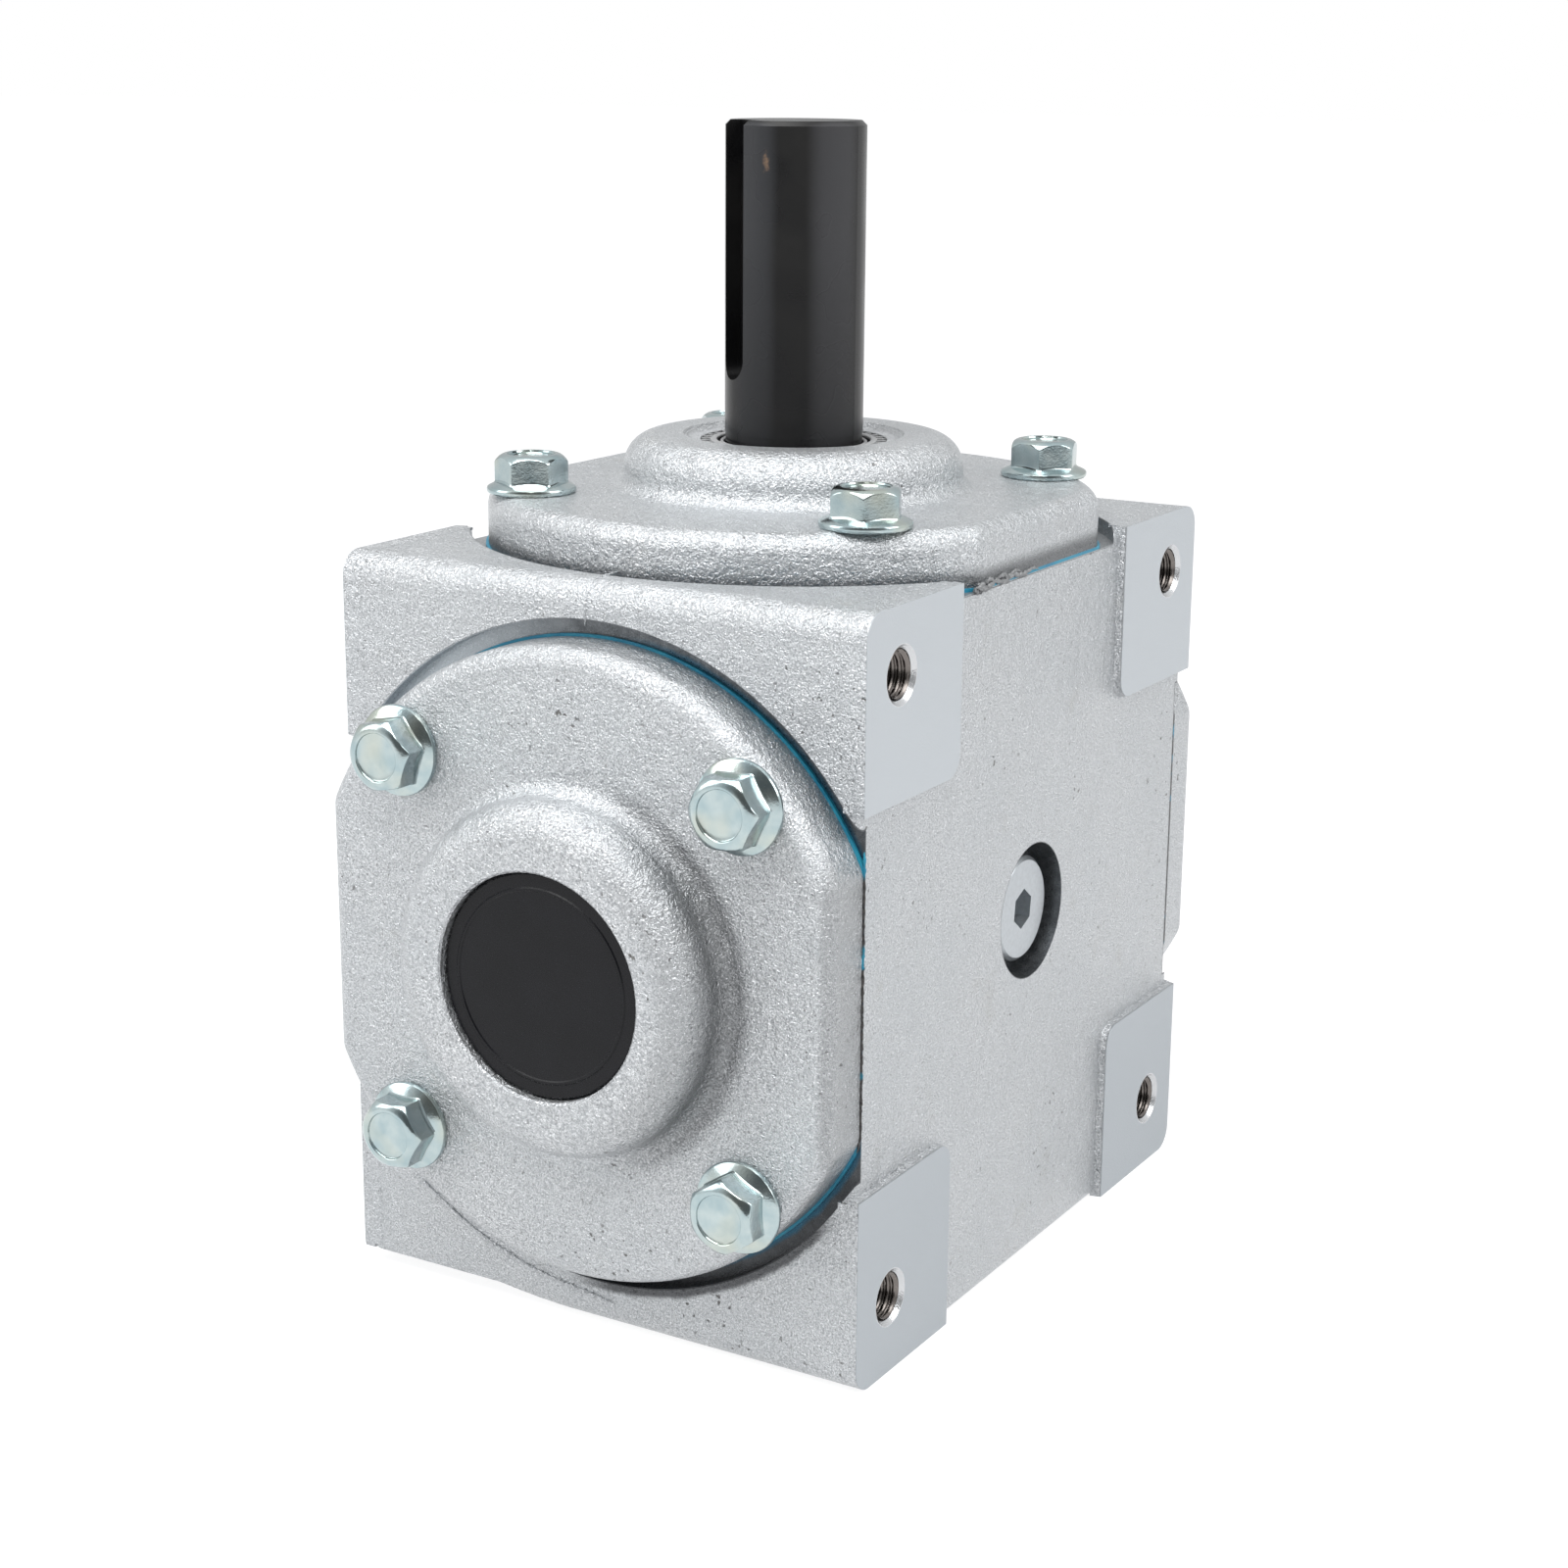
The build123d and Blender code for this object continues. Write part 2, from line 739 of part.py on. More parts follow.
def make_shaft_ring(base):
    """A retaining ring in a shaft groove, open on one side."""
    inner = shaft_radius - ring_groove_depth + slide_gap
    outer = inner + ring_height
    opened = ring(outer, inner, base, base + ring_thickness - face_gap)
    return opened - Pos(0, outer, base) * Box(ring_gap, 2 * ring_height + 4, 4 * ring_thickness)


def make_bore_ring():
    """The retaining ring under the inner cup, in the groove of the carrier sleeve."""
    top = inner_shoulder
    outer = bearing_outer_radius + bore_ring_height / 2 - slide_gap
    opened = ring(outer, outer - bore_ring_height, top - bore_ring_thickness + face_gap, top)
    return opened - Pos(0, outer, top) * Box(ring_gap, 2 * bore_ring_height + 4, 4 * bore_ring_thickness)


def build():
    """Every node of the part, about the crossing point of the axes."""
    flipped = Rot(180, 0, 0)
    outer_bearing = Pos(0, 0, bearing_shoulder)
    inner_bearing = Pos(0, 0, inner_shoulder) * flipped
    front_bearing = front_side.location * outer_bearing
    rear_bearing = rear_side.location * outer_bearing
    bearings = {
        "input_outer": outer_bearing,
        "input_inner": inner_bearing,
        "output_front": front_bearing,
        "output_rear": rear_bearing,
    }
    plain_cover = make_cover()
    gasket = make_gasket()
    washer = make_washer()
    plug = make_plug()
    seal = make_seal()
    pinion_turn = 90
    gear_turn = -90 + 180 / gear_teeth
    ring_low = hub_front - face_gap - ring_thickness
    ring_high = outer_back_face + cone_width + face_gap
    spacer_bore = shaft_radius + slide_gap
    spacer_radius = shaft_radius + spacer_wall

    nodes = {
        "housing": make_housing(),
        "top_cover": make_cover(carrier=True),
        "front_cover": front_side * plain_cover,
        "rear_cover": rear_side * plain_cover,
        "top_gasket": gasket,
        "front_gasket": front_side * gasket,
        "rear_gasket": rear_side * gasket,
        "top_cover_bolts": make_bolts(top_bolt_turns),
        "front_cover_bolts": [front_side * bolt for bolt in make_bolts(front_bolt_turns)],
        "rear_cover_bolts": [rear_side * bolt for bolt in make_bolts(rear_bolt_turns)],
        "front_end_cap": front_side * make_end_cap(),
        "input_shaft_seal": seal,
        "output_shaft_seal": rear_side * seal,
        "oil_plug_right": right_side * plug,
        "oil_plug_left": left_side * plug,
        "plug_washer_right": right_side * washer,
        "plug_washer_left": left_side * washer,
        "input_shaft": make_input_shaft(),
        "output_shaft": rear_side * make_output_shaft(),
        "input_pinion": bevel_gear(
            pinion_teeth, gear_teeth, shaft_radius, pinion_back, pinion_key_width, pinion_turn),
        "output_gear": rear_side * bevel_gear(
            gear_teeth, pinion_teeth, gear_seat_radius, gear_back, output_key_width, gear_turn),
        "pinion_key": make_key(shaft_radius, pinion_key_width, pinion_key_length, pinion_middle),
        "gear_key": rear_side * make_key(gear_seat_radius, output_key_width, gear_key_length, gear_middle),
        "pinion_spacer": ring(spacer_radius, spacer_bore, pinion_back, inner_cone_end),
        "gear_spacer": rear_side * ring(spacer_radius, spacer_bore, gear_back, outer_back_face),
        "pinion_retaining_ring": make_shaft_ring(ring_low),
        "input_bearing_retaining_ring": make_shaft_ring(ring_high),
        "carrier_retaining_ring": make_bore_ring(),
    }
    for name, place in bearings.items():
        nodes[name + "_bearing_cup"] = place * make_cup()
        nodes[name + "_bearing_cone"] = place * make_cone()
        nodes[name + "_bearing_cage"] = place * make_cage()
        nodes[name + "_bearing_rollers"] = [place * roller for roller in make_rollers()]
    return nodes


def solids_of(piece):
    pieces = piece if isinstance(piece, list) else [piece]
    return [solid for item in pieces for solid in item.solids()]


def write_parts():
    os.makedirs("parts", exist_ok=True)
    lift = Pos(0, 0, axis_height)
    for name, piece in build().items():
        solids = [lift * solid for solid in solids_of(piece)]
        shape = solids[0] if len(solids) == 1 else Compound(children=solids)
        shape.label = name
        export_step(shape, os.path.join("parts", name + ".step"))


write_parts()
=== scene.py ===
"""Looks of the right angle gearbox: silver-painted castings, zinc flange bolts, black shafts and cap."""
import json
import math
import random

import bmesh
import bpy
from mathutils import Matrix, Vector


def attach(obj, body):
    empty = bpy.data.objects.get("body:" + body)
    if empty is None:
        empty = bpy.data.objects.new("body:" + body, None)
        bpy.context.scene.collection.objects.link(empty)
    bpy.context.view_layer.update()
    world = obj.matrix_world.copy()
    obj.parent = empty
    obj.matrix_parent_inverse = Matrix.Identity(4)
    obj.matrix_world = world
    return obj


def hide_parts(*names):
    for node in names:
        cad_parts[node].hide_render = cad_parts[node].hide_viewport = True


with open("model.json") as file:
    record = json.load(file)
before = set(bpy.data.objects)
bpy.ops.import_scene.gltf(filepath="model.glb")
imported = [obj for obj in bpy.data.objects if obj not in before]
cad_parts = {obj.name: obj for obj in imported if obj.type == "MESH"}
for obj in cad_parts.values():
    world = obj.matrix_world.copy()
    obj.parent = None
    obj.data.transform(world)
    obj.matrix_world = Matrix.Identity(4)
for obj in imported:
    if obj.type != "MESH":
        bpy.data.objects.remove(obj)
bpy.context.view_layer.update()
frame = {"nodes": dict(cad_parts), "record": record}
nodes = frame["nodes"]

MM = 0.001

# The places below are in millimetres about the crossing point of the axes, as in the part's source.
LIFT = 94.0                 # the axes cross this far above the land
SIDES = {                   # directions of X and Z on each side
    "top": ((1, 0, 0), (0, 0, 1)),
    "front": ((1, 0, 0), (0, -1, 0)),
    "rear": ((1, 0, 0), (0, 1, 0)),
    "right": ((0, 1, 0), (1, 0, 0)),
    "left": ((0, -1, 0), (-1, 0, 0)),
}
FLANGE_TOP = 102.0          # bolted faces of the covers
BLOCK_REACH = 91.0          # front, rear and top faces of the housing
SEAT_REACH = 87.0           # floors of the recesses round the covers
CAST_HALF = 70.5            # as-cast sides
PAD_HALF = 72.5             # machined side pads
PAD_INNER = 46.2            # the skins on the pads' edges start this far from the axes
EDGE_RADIUS = 6.0           # housing edges along X
BOLT_SPACING = 95.0
HOLE_SPACING = 150.0
RECESS_RADIUS = 82.1        # just outside the recess round a cover
RIM_RADIUS = 77.6           # just outside the round of a cover's flange
PLUG_ROOM = 17.4            # just outside the recess round a plug
HOLE_EDGE = 7.08            # just outside the chamfer of a side hole
SHAFT_RADIUS = 17.5
SEAL_FACE = 113.5

CROSSING = Matrix.Translation((0, 0, LIFT * MM)) @ Matrix.Scale(MM, 4)


def side_matrix(side, x=0.0, y=0.0, z=0.0, turn=0.0):
    """Places a piece built in millimetres about its own Z on one side of the gearbox."""
    x_dir, z_dir = (Vector(v) for v in SIDES[side])
    y_dir = z_dir.cross(x_dir)
    basis = Matrix((x_dir, y_dir, z_dir)).transposed().to_4x4()
    local = Matrix.Translation((x, y, z)) @ Matrix.Rotation(math.radians(turn), 4, "Z")
    return CROSSING @ basis @ local


# Meshes

WELD = 1e-7                 # vertices closer than this become one, in metres


class Mesh:
    """Gathers vertices and faces of several pieces for one object."""

    def __init__(self):
        self.verts = []
        self.faces = []

    def add(self, verts, faces, matrix=None):
        start = len(self.verts)
        self.verts += [matrix @ Vector(v) if matrix else Vector(v) for v in verts]
        self.faces += [[start + i for i in f] for f in faces]


def new_object(name, piece, mat, sharp=32.0):
    """Makes a piece that rides on the casing. Edges over sharp degrees stay sharp."""
    mesh = bpy.data.meshes.new(name)
    mesh.from_pydata([tuple(v) for v in piece.verts], [], piece.faces)
    mesh.update()
    bm = bmesh.new()
    bm.from_mesh(mesh)
    bmesh.ops.remove_doubles(bm, verts=bm.verts, dist=WELD)
    bmesh.ops.recalc_face_normals(bm, faces=bm.faces)
    bm.to_mesh(mesh)
    bm.free()
    obj = bpy.data.objects.new(name, mesh)
    bpy.context.scene.collection.objects.link(obj)
    mesh.materials.append(mat)
    mesh.polygons.foreach_set("use_smooth", [True] * len(mesh.polygons))
    mesh.set_sharp_from_angle(angle=math.radians(sharp))
    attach(obj, "casing")
    return obj


def rings_mesh(rings, closed):
    """Joins rings of equally many points. When closed, the first and the last ring get a face each."""
    count = len(rings[0])
    verts = [p for ring in rings for p in ring]
    faces = []
    for k in range(len(rings) - 1):
        for i in range(count):
            j = (i + 1) % count
            faces.append([k * count + i, k * count + j, (k + 1) * count + j, (k + 1) * count + i])
    if closed:
        last = (len(rings) - 1) * count
        faces.append(list(range(count))[::-1])
        faces.append(list(range(last, last + count)))
    return verts, faces


def lathe(profile, count):
    """Turns (radius, height) points about Z."""
    angles = [2 * math.pi * i / count for i in range(count)]
    rings = [[(r * math.cos(a), r * math.sin(a), z) for a in angles] for r, z in profile]
    return rings_mesh(rings, False)


# Materials

class Nodes:
    """Short calls for building one material's node tree."""

    def __init__(self, name):
        self.mat = bpy.data.materials.new(name)
        self.mat.use_nodes = True
        self.tree = self.mat.node_tree
        self.tree.nodes.clear()
        self.out = self.tree.nodes.new("ShaderNodeOutputMaterial")
        self.bsdf = self.tree.nodes.new("ShaderNodeBsdfPrincipled")
        self.link(self.bsdf.outputs[0], self.out.inputs[0])
        coord = self.tree.nodes.new("ShaderNodeTexCoord")
        self.point = coord.outputs["Object"]

    def link(self, a, b):
        self.tree.links.new(a, b)

    def put(self, socket, value):
        """Links a socket to another one, or sets its value."""
        if isinstance(value, bpy.types.NodeSocket):
            self.link(value, socket)
        else:
            socket.default_value = value

    def noise(self, scale, detail=2.0, rough=0.5, point=None, distortion=0.0):
        n = self.tree.nodes.new("ShaderNodeTexNoise")
        self.put(n.inputs["Vector"], point or self.point)
        n.inputs["Scale"].default_value = scale
        n.inputs["Detail"].default_value = detail
        n.inputs["Roughness"].default_value = rough
        n.inputs["Distortion"].default_value = distortion
        return n.outputs["Fac"]

    def math(self, op, a, b=0.0, c=0.0, clamp=False):
        n = self.tree.nodes.new("ShaderNodeMath")
        n.operation = op
        n.use_clamp = clamp
        for socket, value in zip(n.inputs, (a, b, c)):
            self.put(socket, value)
        return n.outputs[0]

    def times(self, first, *others):
        """The product of all the values."""
        product = first
        for value in others:
            product = self.math("MULTIPLY", product, value)
        return product

    def across(self, a, b):
        """Distance from the origin of two coordinates."""
        return self.math("SQRT", self.math("ADD", self.math("POWER", a, 2.0), self.math("POWER", b, 2.0)))

    def span(self, value, low, high, to_low=0.0, to_high=1.0, kind="LINEAR"):
        n = self.tree.nodes.new("ShaderNodeMapRange")
        n.interpolation_type = kind
        for socket, v in zip(n.inputs[:5], (value, low, high, to_low, to_high)):
            self.put(socket, v)
        return n.outputs[0]

    def ease(self, value, low, high):
        """From 0 to 1 with soft ends."""
        return self.span(value, low, high, kind="SMOOTHSTEP")

    def reach(self, value, low, high):
        """From 0 to 1 as a length goes from low to high, in millimetres."""
        return self.span(value, low * MM, high * MM)

    def soft_reach(self, value, low, high):
        """Like reach, with soft ends."""
        return self.ease(value, low * MM, high * MM)

    def inside(self, a, b, radius):
        """1 inside a circle about the origin of two coordinates, its radius in millimetres."""
        return self.reach(self.across(a, b), radius + 0.1, radius)

    def mix(self, fac, a, b):
        n = self.tree.nodes.new("ShaderNodeMix")
        n.data_type = "RGBA"
        self.put(n.inputs[0], fac)
        self.put(n.inputs[6], a)
        self.put(n.inputs[7], b)
        return n.outputs[2]

    def mix_value(self, fac, a, b):
        n = self.tree.nodes.new("ShaderNodeMix")
        self.put(n.inputs[0], fac)
        self.put(n.inputs[2], a)
        self.put(n.inputs[3], b)
        return n.outputs[0]

    def split(self):
        """x, y and z in the shared frame, in metres."""
        n = self.tree.nodes.new("ShaderNodeSeparateXYZ")
        self.put(n.inputs[0], self.point)
        return n.outputs

    def place(self):
        """x, y and z about the crossing point of the axes, in metres."""
        x, y, z = self.split()
        return x, y, self.math("SUBTRACT", z, LIFT * MM)

    def combine(self, x, y, z):
        n = self.tree.nodes.new("ShaderNodeCombineXYZ")
        for socket, v in zip(n.inputs, (x, y, z)):
            self.put(socket, v)
        return n.outputs[0]

    def bump(self, height, distance, strength):
        n = self.tree.nodes.new("ShaderNodeBump")
        self.put(n.inputs["Height"], height)
        n.inputs["Strength"].default_value = strength
        n.inputs["Distance"].default_value = distance
        return n.outputs[0]

    def finish(self, color, rough, metal, normal, specular=0.5):
        self.put(self.bsdf.inputs["Base Color"], color)
        self.put(self.bsdf.inputs["Roughness"], rough)
        self.put(self.bsdf.inputs["Metallic"], metal)
        self.put(self.bsdf.inputs["Normal"], normal)
        self.bsdf.inputs["Specular IOR Level"].default_value = specular
        return self.mat


def rgb(r, g, b):
    return (r, g, b, 1.0)


def lighter(tone, factor):
    return rgb(*[c * factor for c in tone[:3]])


def dots(n, scale, cast):
    """Small sparse dots in the as-cast skin."""
    return n.times(n.ease(n.noise(scale, 1.0, 0.4), 0.70, 0.76), cast)


def skin_tone(n, fine, pits, cast):
    """Light and dark grains under larger patches, stains, specks and pits."""
    patches = n.span(n.noise(34.0, 3.0, 0.6), 0.35, 0.7, 0.0, 0.45)
    stains = n.ease(n.noise(46.0, 3.0, 0.7), 0.60, 0.78)
    specks = dots(n, 1250.0, cast)
    tone = n.mix(n.span(fine, 0.33, 0.68), rgb(0.33, 0.345, 0.36), rgb(0.76, 0.775, 0.79))
    tone = n.mix(patches, tone, rgb(0.49, 0.515, 0.535))
    tone = n.mix(n.times(stains, 0.20), tone, rgb(0.36, 0.345, 0.30))
    tone = n.mix(n.times(specks, 0.55), tone, rgb(0.16, 0.16, 0.15))
    return n.mix(n.times(pits, 0.80), tone, rgb(0.085, 0.08, 0.07))


def machined_tone(n, tone, flat, dark, bright):
    """Even paint on flat faces, painted shade low down, mottled recesses partly painted shade, bright
    edges.
    """
    # Painted shade: the flat faces get darker towards the floor.
    painted_shade_low_down = n.soft_reach(n.split()[2], 130.0, 30.0)
    marks = n.span(n.noise(420.0, 3.0, 0.6), 0.35, 0.7)
    tone = n.mix(flat, tone, n.mix(painted_shade_low_down, rgb(0.53, 0.56, 0.585), rgb(0.44, 0.47, 0.495)))
    # The recesses' dark metal is partly painted shade.
    tone = n.mix(dark, tone, n.mix(marks, rgb(0.10, 0.108, 0.115), rgb(0.18, 0.19, 0.20)))
    return n.mix(bright, tone, rgb(0.60, 0.61, 0.62))


def skin_height(n, fine, pits, cast, smooth):
    """Relief of the as-cast skin, and a faint grain on the smooth faces."""
    height = n.math("MULTIPLY_ADD", fine, 0.62, n.noise(880.0, 2.0, 0.55, distortion=0.7))
    height = n.math("MULTIPLY_ADD", n.noise(240.0, 2.0, 0.5), 0.7, height)
    height = n.math("MULTIPLY_ADD", n.noise(60.0, 2.0, 0.5), 1.7, height)
    height = n.math("MULTIPLY_ADD", pits, -0.8, height)
    grain = n.times(n.noise(2600.0, 2.0, 0.5), smooth)
    return n.math("MULTIPLY_ADD", grain, 0.12, n.times(height, cast))


def ragged_across(n, a, b):
    """Distance from the origin of two coordinates, for rings with uneven edges."""
    return n.math("MULTIPLY_ADD", n.noise(200.0), 0.0012, n.across(a, b))


def housing_painted_light_and_spill(n, tone, fine, dark):
    """The recess round the front cover: painted light on the upper left, painted shade on the lower right
    and its slope, blue spill.
    """
    x, y, z = n.place()
    across = ragged_across(n, x, z)
    deep = n.reach(y, -80.0, -85.0)
    # Painted light on the upper left of the recess.
    painted_light_upper_left = n.times(n.reach(x, -5.0, -45.0), n.reach(z, 20.0, 50.0), dark, deep)
    tone = n.mix(painted_light_upper_left, tone, rgb(0.42, 0.46, 0.49))
    face = n.reach(y, 1.0 - SEAT_REACH, 0.4 - SEAT_REACH)
    # Painted shade on the lower right of the recess and on the slope just outside it.
    painted_shade_low_right = n.times(n.soft_reach(z, -20.0, -50.0), n.soft_reach(x, -12.0, 6.0), face)
    tone = n.mix(n.times(painted_shade_low_right, dark, 0.75), tone, rgb(0.02, 0.021, 0.023))
    slope = n.times(n.soft_reach(across, 85.6, 84.0), n.reach(across, 81.5, 82.5))
    slope = n.times(slope, painted_shade_low_right, n.soft_reach(x, 68.0, 60.0))
    tone = n.mix(n.times(slope, 0.90), tone, rgb(0.06, 0.062, 0.066))
    spill = n.times(n.reach(across, 80.2, 79.2), n.reach(x, 5.0, 20.0), dark, deep)
    return n.mix(n.times(spill, 0.70), tone, rgb(0.010, 0.095, 0.16))


def cover_painted_shade(n, tone, fine, dark):
    """Shade on the right of the front boss, under the top flange and on the front flange's side."""
    x, y, z = n.place()
    across = ragged_across(n, x, z)
    # Painted shade on the front boss's right shoulder and root, at the top flange's foot and on the front
    # flange's side.
    right = n.times(n.soft_reach(x, 5.0, 36.0), n.reach(y, -100.5, -101.5))
    shoulder = n.times(n.soft_reach(across, 31.0, 37.0), n.soft_reach(across, 50.0, 46.0), right)
    tone = n.mix(n.times(shoulder, 0.35), tone, rgb(0.26, 0.265, 0.27))
    root = n.times(n.soft_reach(across, 40.5, 44.5), n.soft_reach(across, 52.0, 47.5), right)
    tone = n.mix(n.times(root, n.span(fine, 0.35, 0.65, 0.85, 0.40)), tone, rgb(0.17, 0.175, 0.18))
    foot = n.times(n.inside(x, y, RIM_RADIUS), n.soft_reach(z, 93.5, 89.5))
    foot = n.times(foot, n.reach(z, SEAT_REACH, SEAT_REACH + 0.5))
    tone = n.mix(n.times(foot, 0.85), tone, rgb(0.10, 0.105, 0.11))
    side = n.times(n.soft_reach(x, 66.5, 69.0), n.reach(n.math("ABSOLUTE", z), 38.0, 34.0))
    side = n.times(side, n.reach(y, -87.8, -88.2))
    return n.mix(n.times(side, 0.40), tone, rgb(0.24, 0.245, 0.25))


def housing_regions(n):
    """Flat side pads and land, dark recesses and plug rooms, bright edges of the side holes."""
    x, y, z = n.place()
    wide, deep, high = (n.math("ABSOLUTE", v) for v in (x, y, z))
    pad = n.reach(wide, PAD_HALF - 0.4, PAD_HALF - 0.1)
    land = n.reach(z, 0.2 - LIFT, 0.1 - LIFT)
    front = n.times(n.inside(x, z, RECESS_RADIUS), n.reach(deep, SEAT_REACH - 0.4, SEAT_REACH - 0.2))
    top = n.times(n.inside(x, y, RECESS_RADIUS), n.reach(z, SEAT_REACH - 0.4, SEAT_REACH - 0.2))
    plug = n.inside(y, z, PLUG_ROOM)
    dark = n.math("ADD", plug, n.math("MULTIPLY_ADD", top, 0.35, front), clamp=True)
    off_y, off_z = (n.math("SUBTRACT", v, HOLE_SPACING / 2 * MM) for v in (deep, high))
    bright = n.inside(off_y, off_z, HOLE_EDGE)
    flat = n.math("ADD", pad, land, clamp=True)
    flat = n.math("SUBTRACT", flat, bright, clamp=True)
    return flat, dark, bright


def no_regions(n):
    return 0.0, 0.0, 0.0


def cast_paint(name, regions, painted_light_and_tones):
    """Silver paint on a sand casting. regions gives the shares of flat, dark and bright smooth faces,
    and the last argument adds the painted light and shade, and the other tones, of one place on the
    gearbox."""
    n = Nodes(name)
    flat, dark, bright = regions(n)
    smooth = n.math("ADD", flat, n.math("ADD", dark, bright), clamp=True)
    cast = n.math("SUBTRACT", 1.0, smooth)
    fine = n.noise(2100.0, 2.0, 0.6)
    pitted = n.ease(n.noise(30.0, 2.0, 0.6), 0.47, 0.66)
    pits = n.times(dots(n, 700.0, cast), pitted)
    tone = skin_tone(n, fine, pits, cast)
    tone = machined_tone(n, tone, flat, dark, bright)
    tone = painted_light_and_tones(n, tone, fine, dark)
    normal = n.bump(skin_height(n, fine, pits, cast, smooth), 0.00066, 0.95)
    rough = n.span(fine, 0.3, 0.7, 0.37, 0.24)
    rough = n.mix_value(flat, rough, 0.50)
    rough = n.mix_value(bright, rough, 0.20)
    return n.finish(tone, rough, 0.75, normal)


def zinc(name):
    """Bright zinc with a faint blue-green and straw tint."""
    n = Nodes(name)
    clouds = n.noise(240.0, 2.0, 0.5)
    drift = n.noise(90.0, 1.0, 0.5)
    scuffs = n.noise(1500.0, 2.0, 0.6)
    tone = n.mix(n.span(clouds, 0.3, 0.7), rgb(0.36, 0.455, 0.475), rgb(0.48, 0.555, 0.555))
    tone = n.mix(n.span(drift, 0.52, 0.75, 0.0, 0.6), tone, rgb(0.53, 0.54, 0.45))
    normal = n.bump(n.math("ADD", scuffs, n.times(clouds, 1.5)), 0.00005, 0.5)
    return n.finish(tone, n.span(clouds, 0.3, 0.7, 0.12, 0.20), 1.0, normal)


# Painted reflections as pale bands along the upright shaft: middle on its skin in millimetres, start as a
# share, colour.
PAINTED_REFLECTION_BANDS = (
    ((15.7, -7.5), 0.90, rgb(0.046, 0.046, 0.049)),
    ((-1.9, -17.4), 0.93, rgb(0.030, 0.031, 0.034)),
)
WORN_X = 1.9                # a worn mark near the upright shaft's end
WORN_HEIGHT = 182.5


def painted_reflection_bands(n, tone):
    x, y = n.split()[:2]
    # Each band is a painted reflection along one side of the shaft.
    for (band_x, band_y), start, colour in PAINTED_REFLECTION_BANDS:
        from_x, from_y = (n.times(a, b / SHAFT_RADIUS ** 2 / MM) for a, b in ((x, band_x), (y, band_y)))
        facing = n.math("MULTIPLY_ADD", n.noise(45.0, 2.0), 0.03, n.math("ADD", from_x, from_y))
        tone = n.mix(n.ease(facing, start, 1.0), tone, colour)
    return tone


def worn_mark(n, tone):
    x, y, z = n.place()
    tall = n.times(n.math("SUBTRACT", z, WORN_HEIGHT * MM), 0.40)
    wide = n.math("SUBTRACT", x, WORN_X * MM)
    off = n.math("MULTIPLY_ADD", n.noise(900.0, 3.0, 0.7), 0.0026, n.across(tall, wide))
    worn = n.times(n.soft_reach(off, 2.4, 1.0), n.reach(y, -15.0, -16.0))
    return n.mix(worn, tone, rgb(0.20, 0.13, 0.085))


def black_oxide(name, upright):
    """Blackened turned steel. The upright shaft has painted reflections as pale bands, a worn mark and a
    darker foot.
    """
    n = Nodes(name)
    x, y, z = n.split()
    along, side = (z, y) if upright else (y, z)
    turned = n.combine(n.times(x, 0.02), n.times(side, 0.02), along)
    lines = n.noise(5200.0, 1.0, 0.4, point=turned)
    smear = n.noise(60.0, 2.0, 0.6)
    rub = n.span(n.noise(210.0, 3.0, 0.65), 0.72, 0.80, 0.0, 0.25)
    tone = n.mix(n.span(smear, 0.35, 0.7), rgb(0.006, 0.006, 0.0066), rgb(0.014, 0.0138, 0.0136))
    tone = n.mix(rub, tone, rgb(0.12, 0.10, 0.085))
    shade = 0.3
    if upright:
        tone = worn_mark(n, painted_reflection_bands(n, tone))
        shade = n.times(n.reach(z, LIFT + 165.0, LIFT + 115.0), 0.6)
    tone = n.mix(shade, tone, rgb(0.0025, 0.0025, 0.003))
    normal = n.bump(lines, 0.00002, 0.35)
    return n.finish(tone, n.span(smear, 0.3, 0.7, 0.24, 0.32), 0.20, normal, specular=0.30)


def rubber(name, tone, rough):
    n = Nodes(name)
    fine = n.noise(1800.0, 2.0, 0.5)
    soft = n.noise(120.0, 2.0, 0.5)
    color = n.mix(n.span(soft, 0.3, 0.7), tone, lighter(tone, 1.35))
    normal = n.bump(n.math("ADD", fine, soft), 0.00004, 0.4)
    return n.finish(color, n.span(fine, 0.3, 0.7, rough - 0.04, rough + 0.04), 0.0, normal, specular=0.22)


def sealant_tone(n, tone, fine):
    """Dark scraped sealant on the gaskets' straight sides."""
    uneven = n.span(n.noise(500.0), 0.4, 0.6, -1.0, 1.0)
    wide = n.math("MULTIPLY_ADD", uneven, 0.0001, n.math("ABSOLUTE", n.split()[0]))
    smeared = n.times(n.reach(wide, 69.8, 70.1), n.span(n.noise(110.0, 2.0, 0.6), 0.40, 0.46))
    scraps = n.mix(n.span(fine, 0.4, 0.6), rgb(0.012, 0.012, 0.014), rgb(0.07, 0.065, 0.06))
    return n.mix(smeared, tone, scraps)


def gasket_look(name, sealant):
    """Blue gasket sheet, with or without sealant."""
    n = Nodes(name)
    soft = n.noise(150.0, 2.0, 0.5)
    fine = n.noise(1300.0, 2.0, 0.5)
    tone = n.mix(n.span(soft, 0.3, 0.7), rgb(0.010, 0.18, 0.31), rgb(0.022, 0.29, 0.42))
    if sealant:
        tone = sealant_tone(n, tone, fine)
    normal = n.bump(n.math("ADD", fine, soft), 0.0001, 0.5)
    return n.finish(tone, 0.45, 0.0, normal)


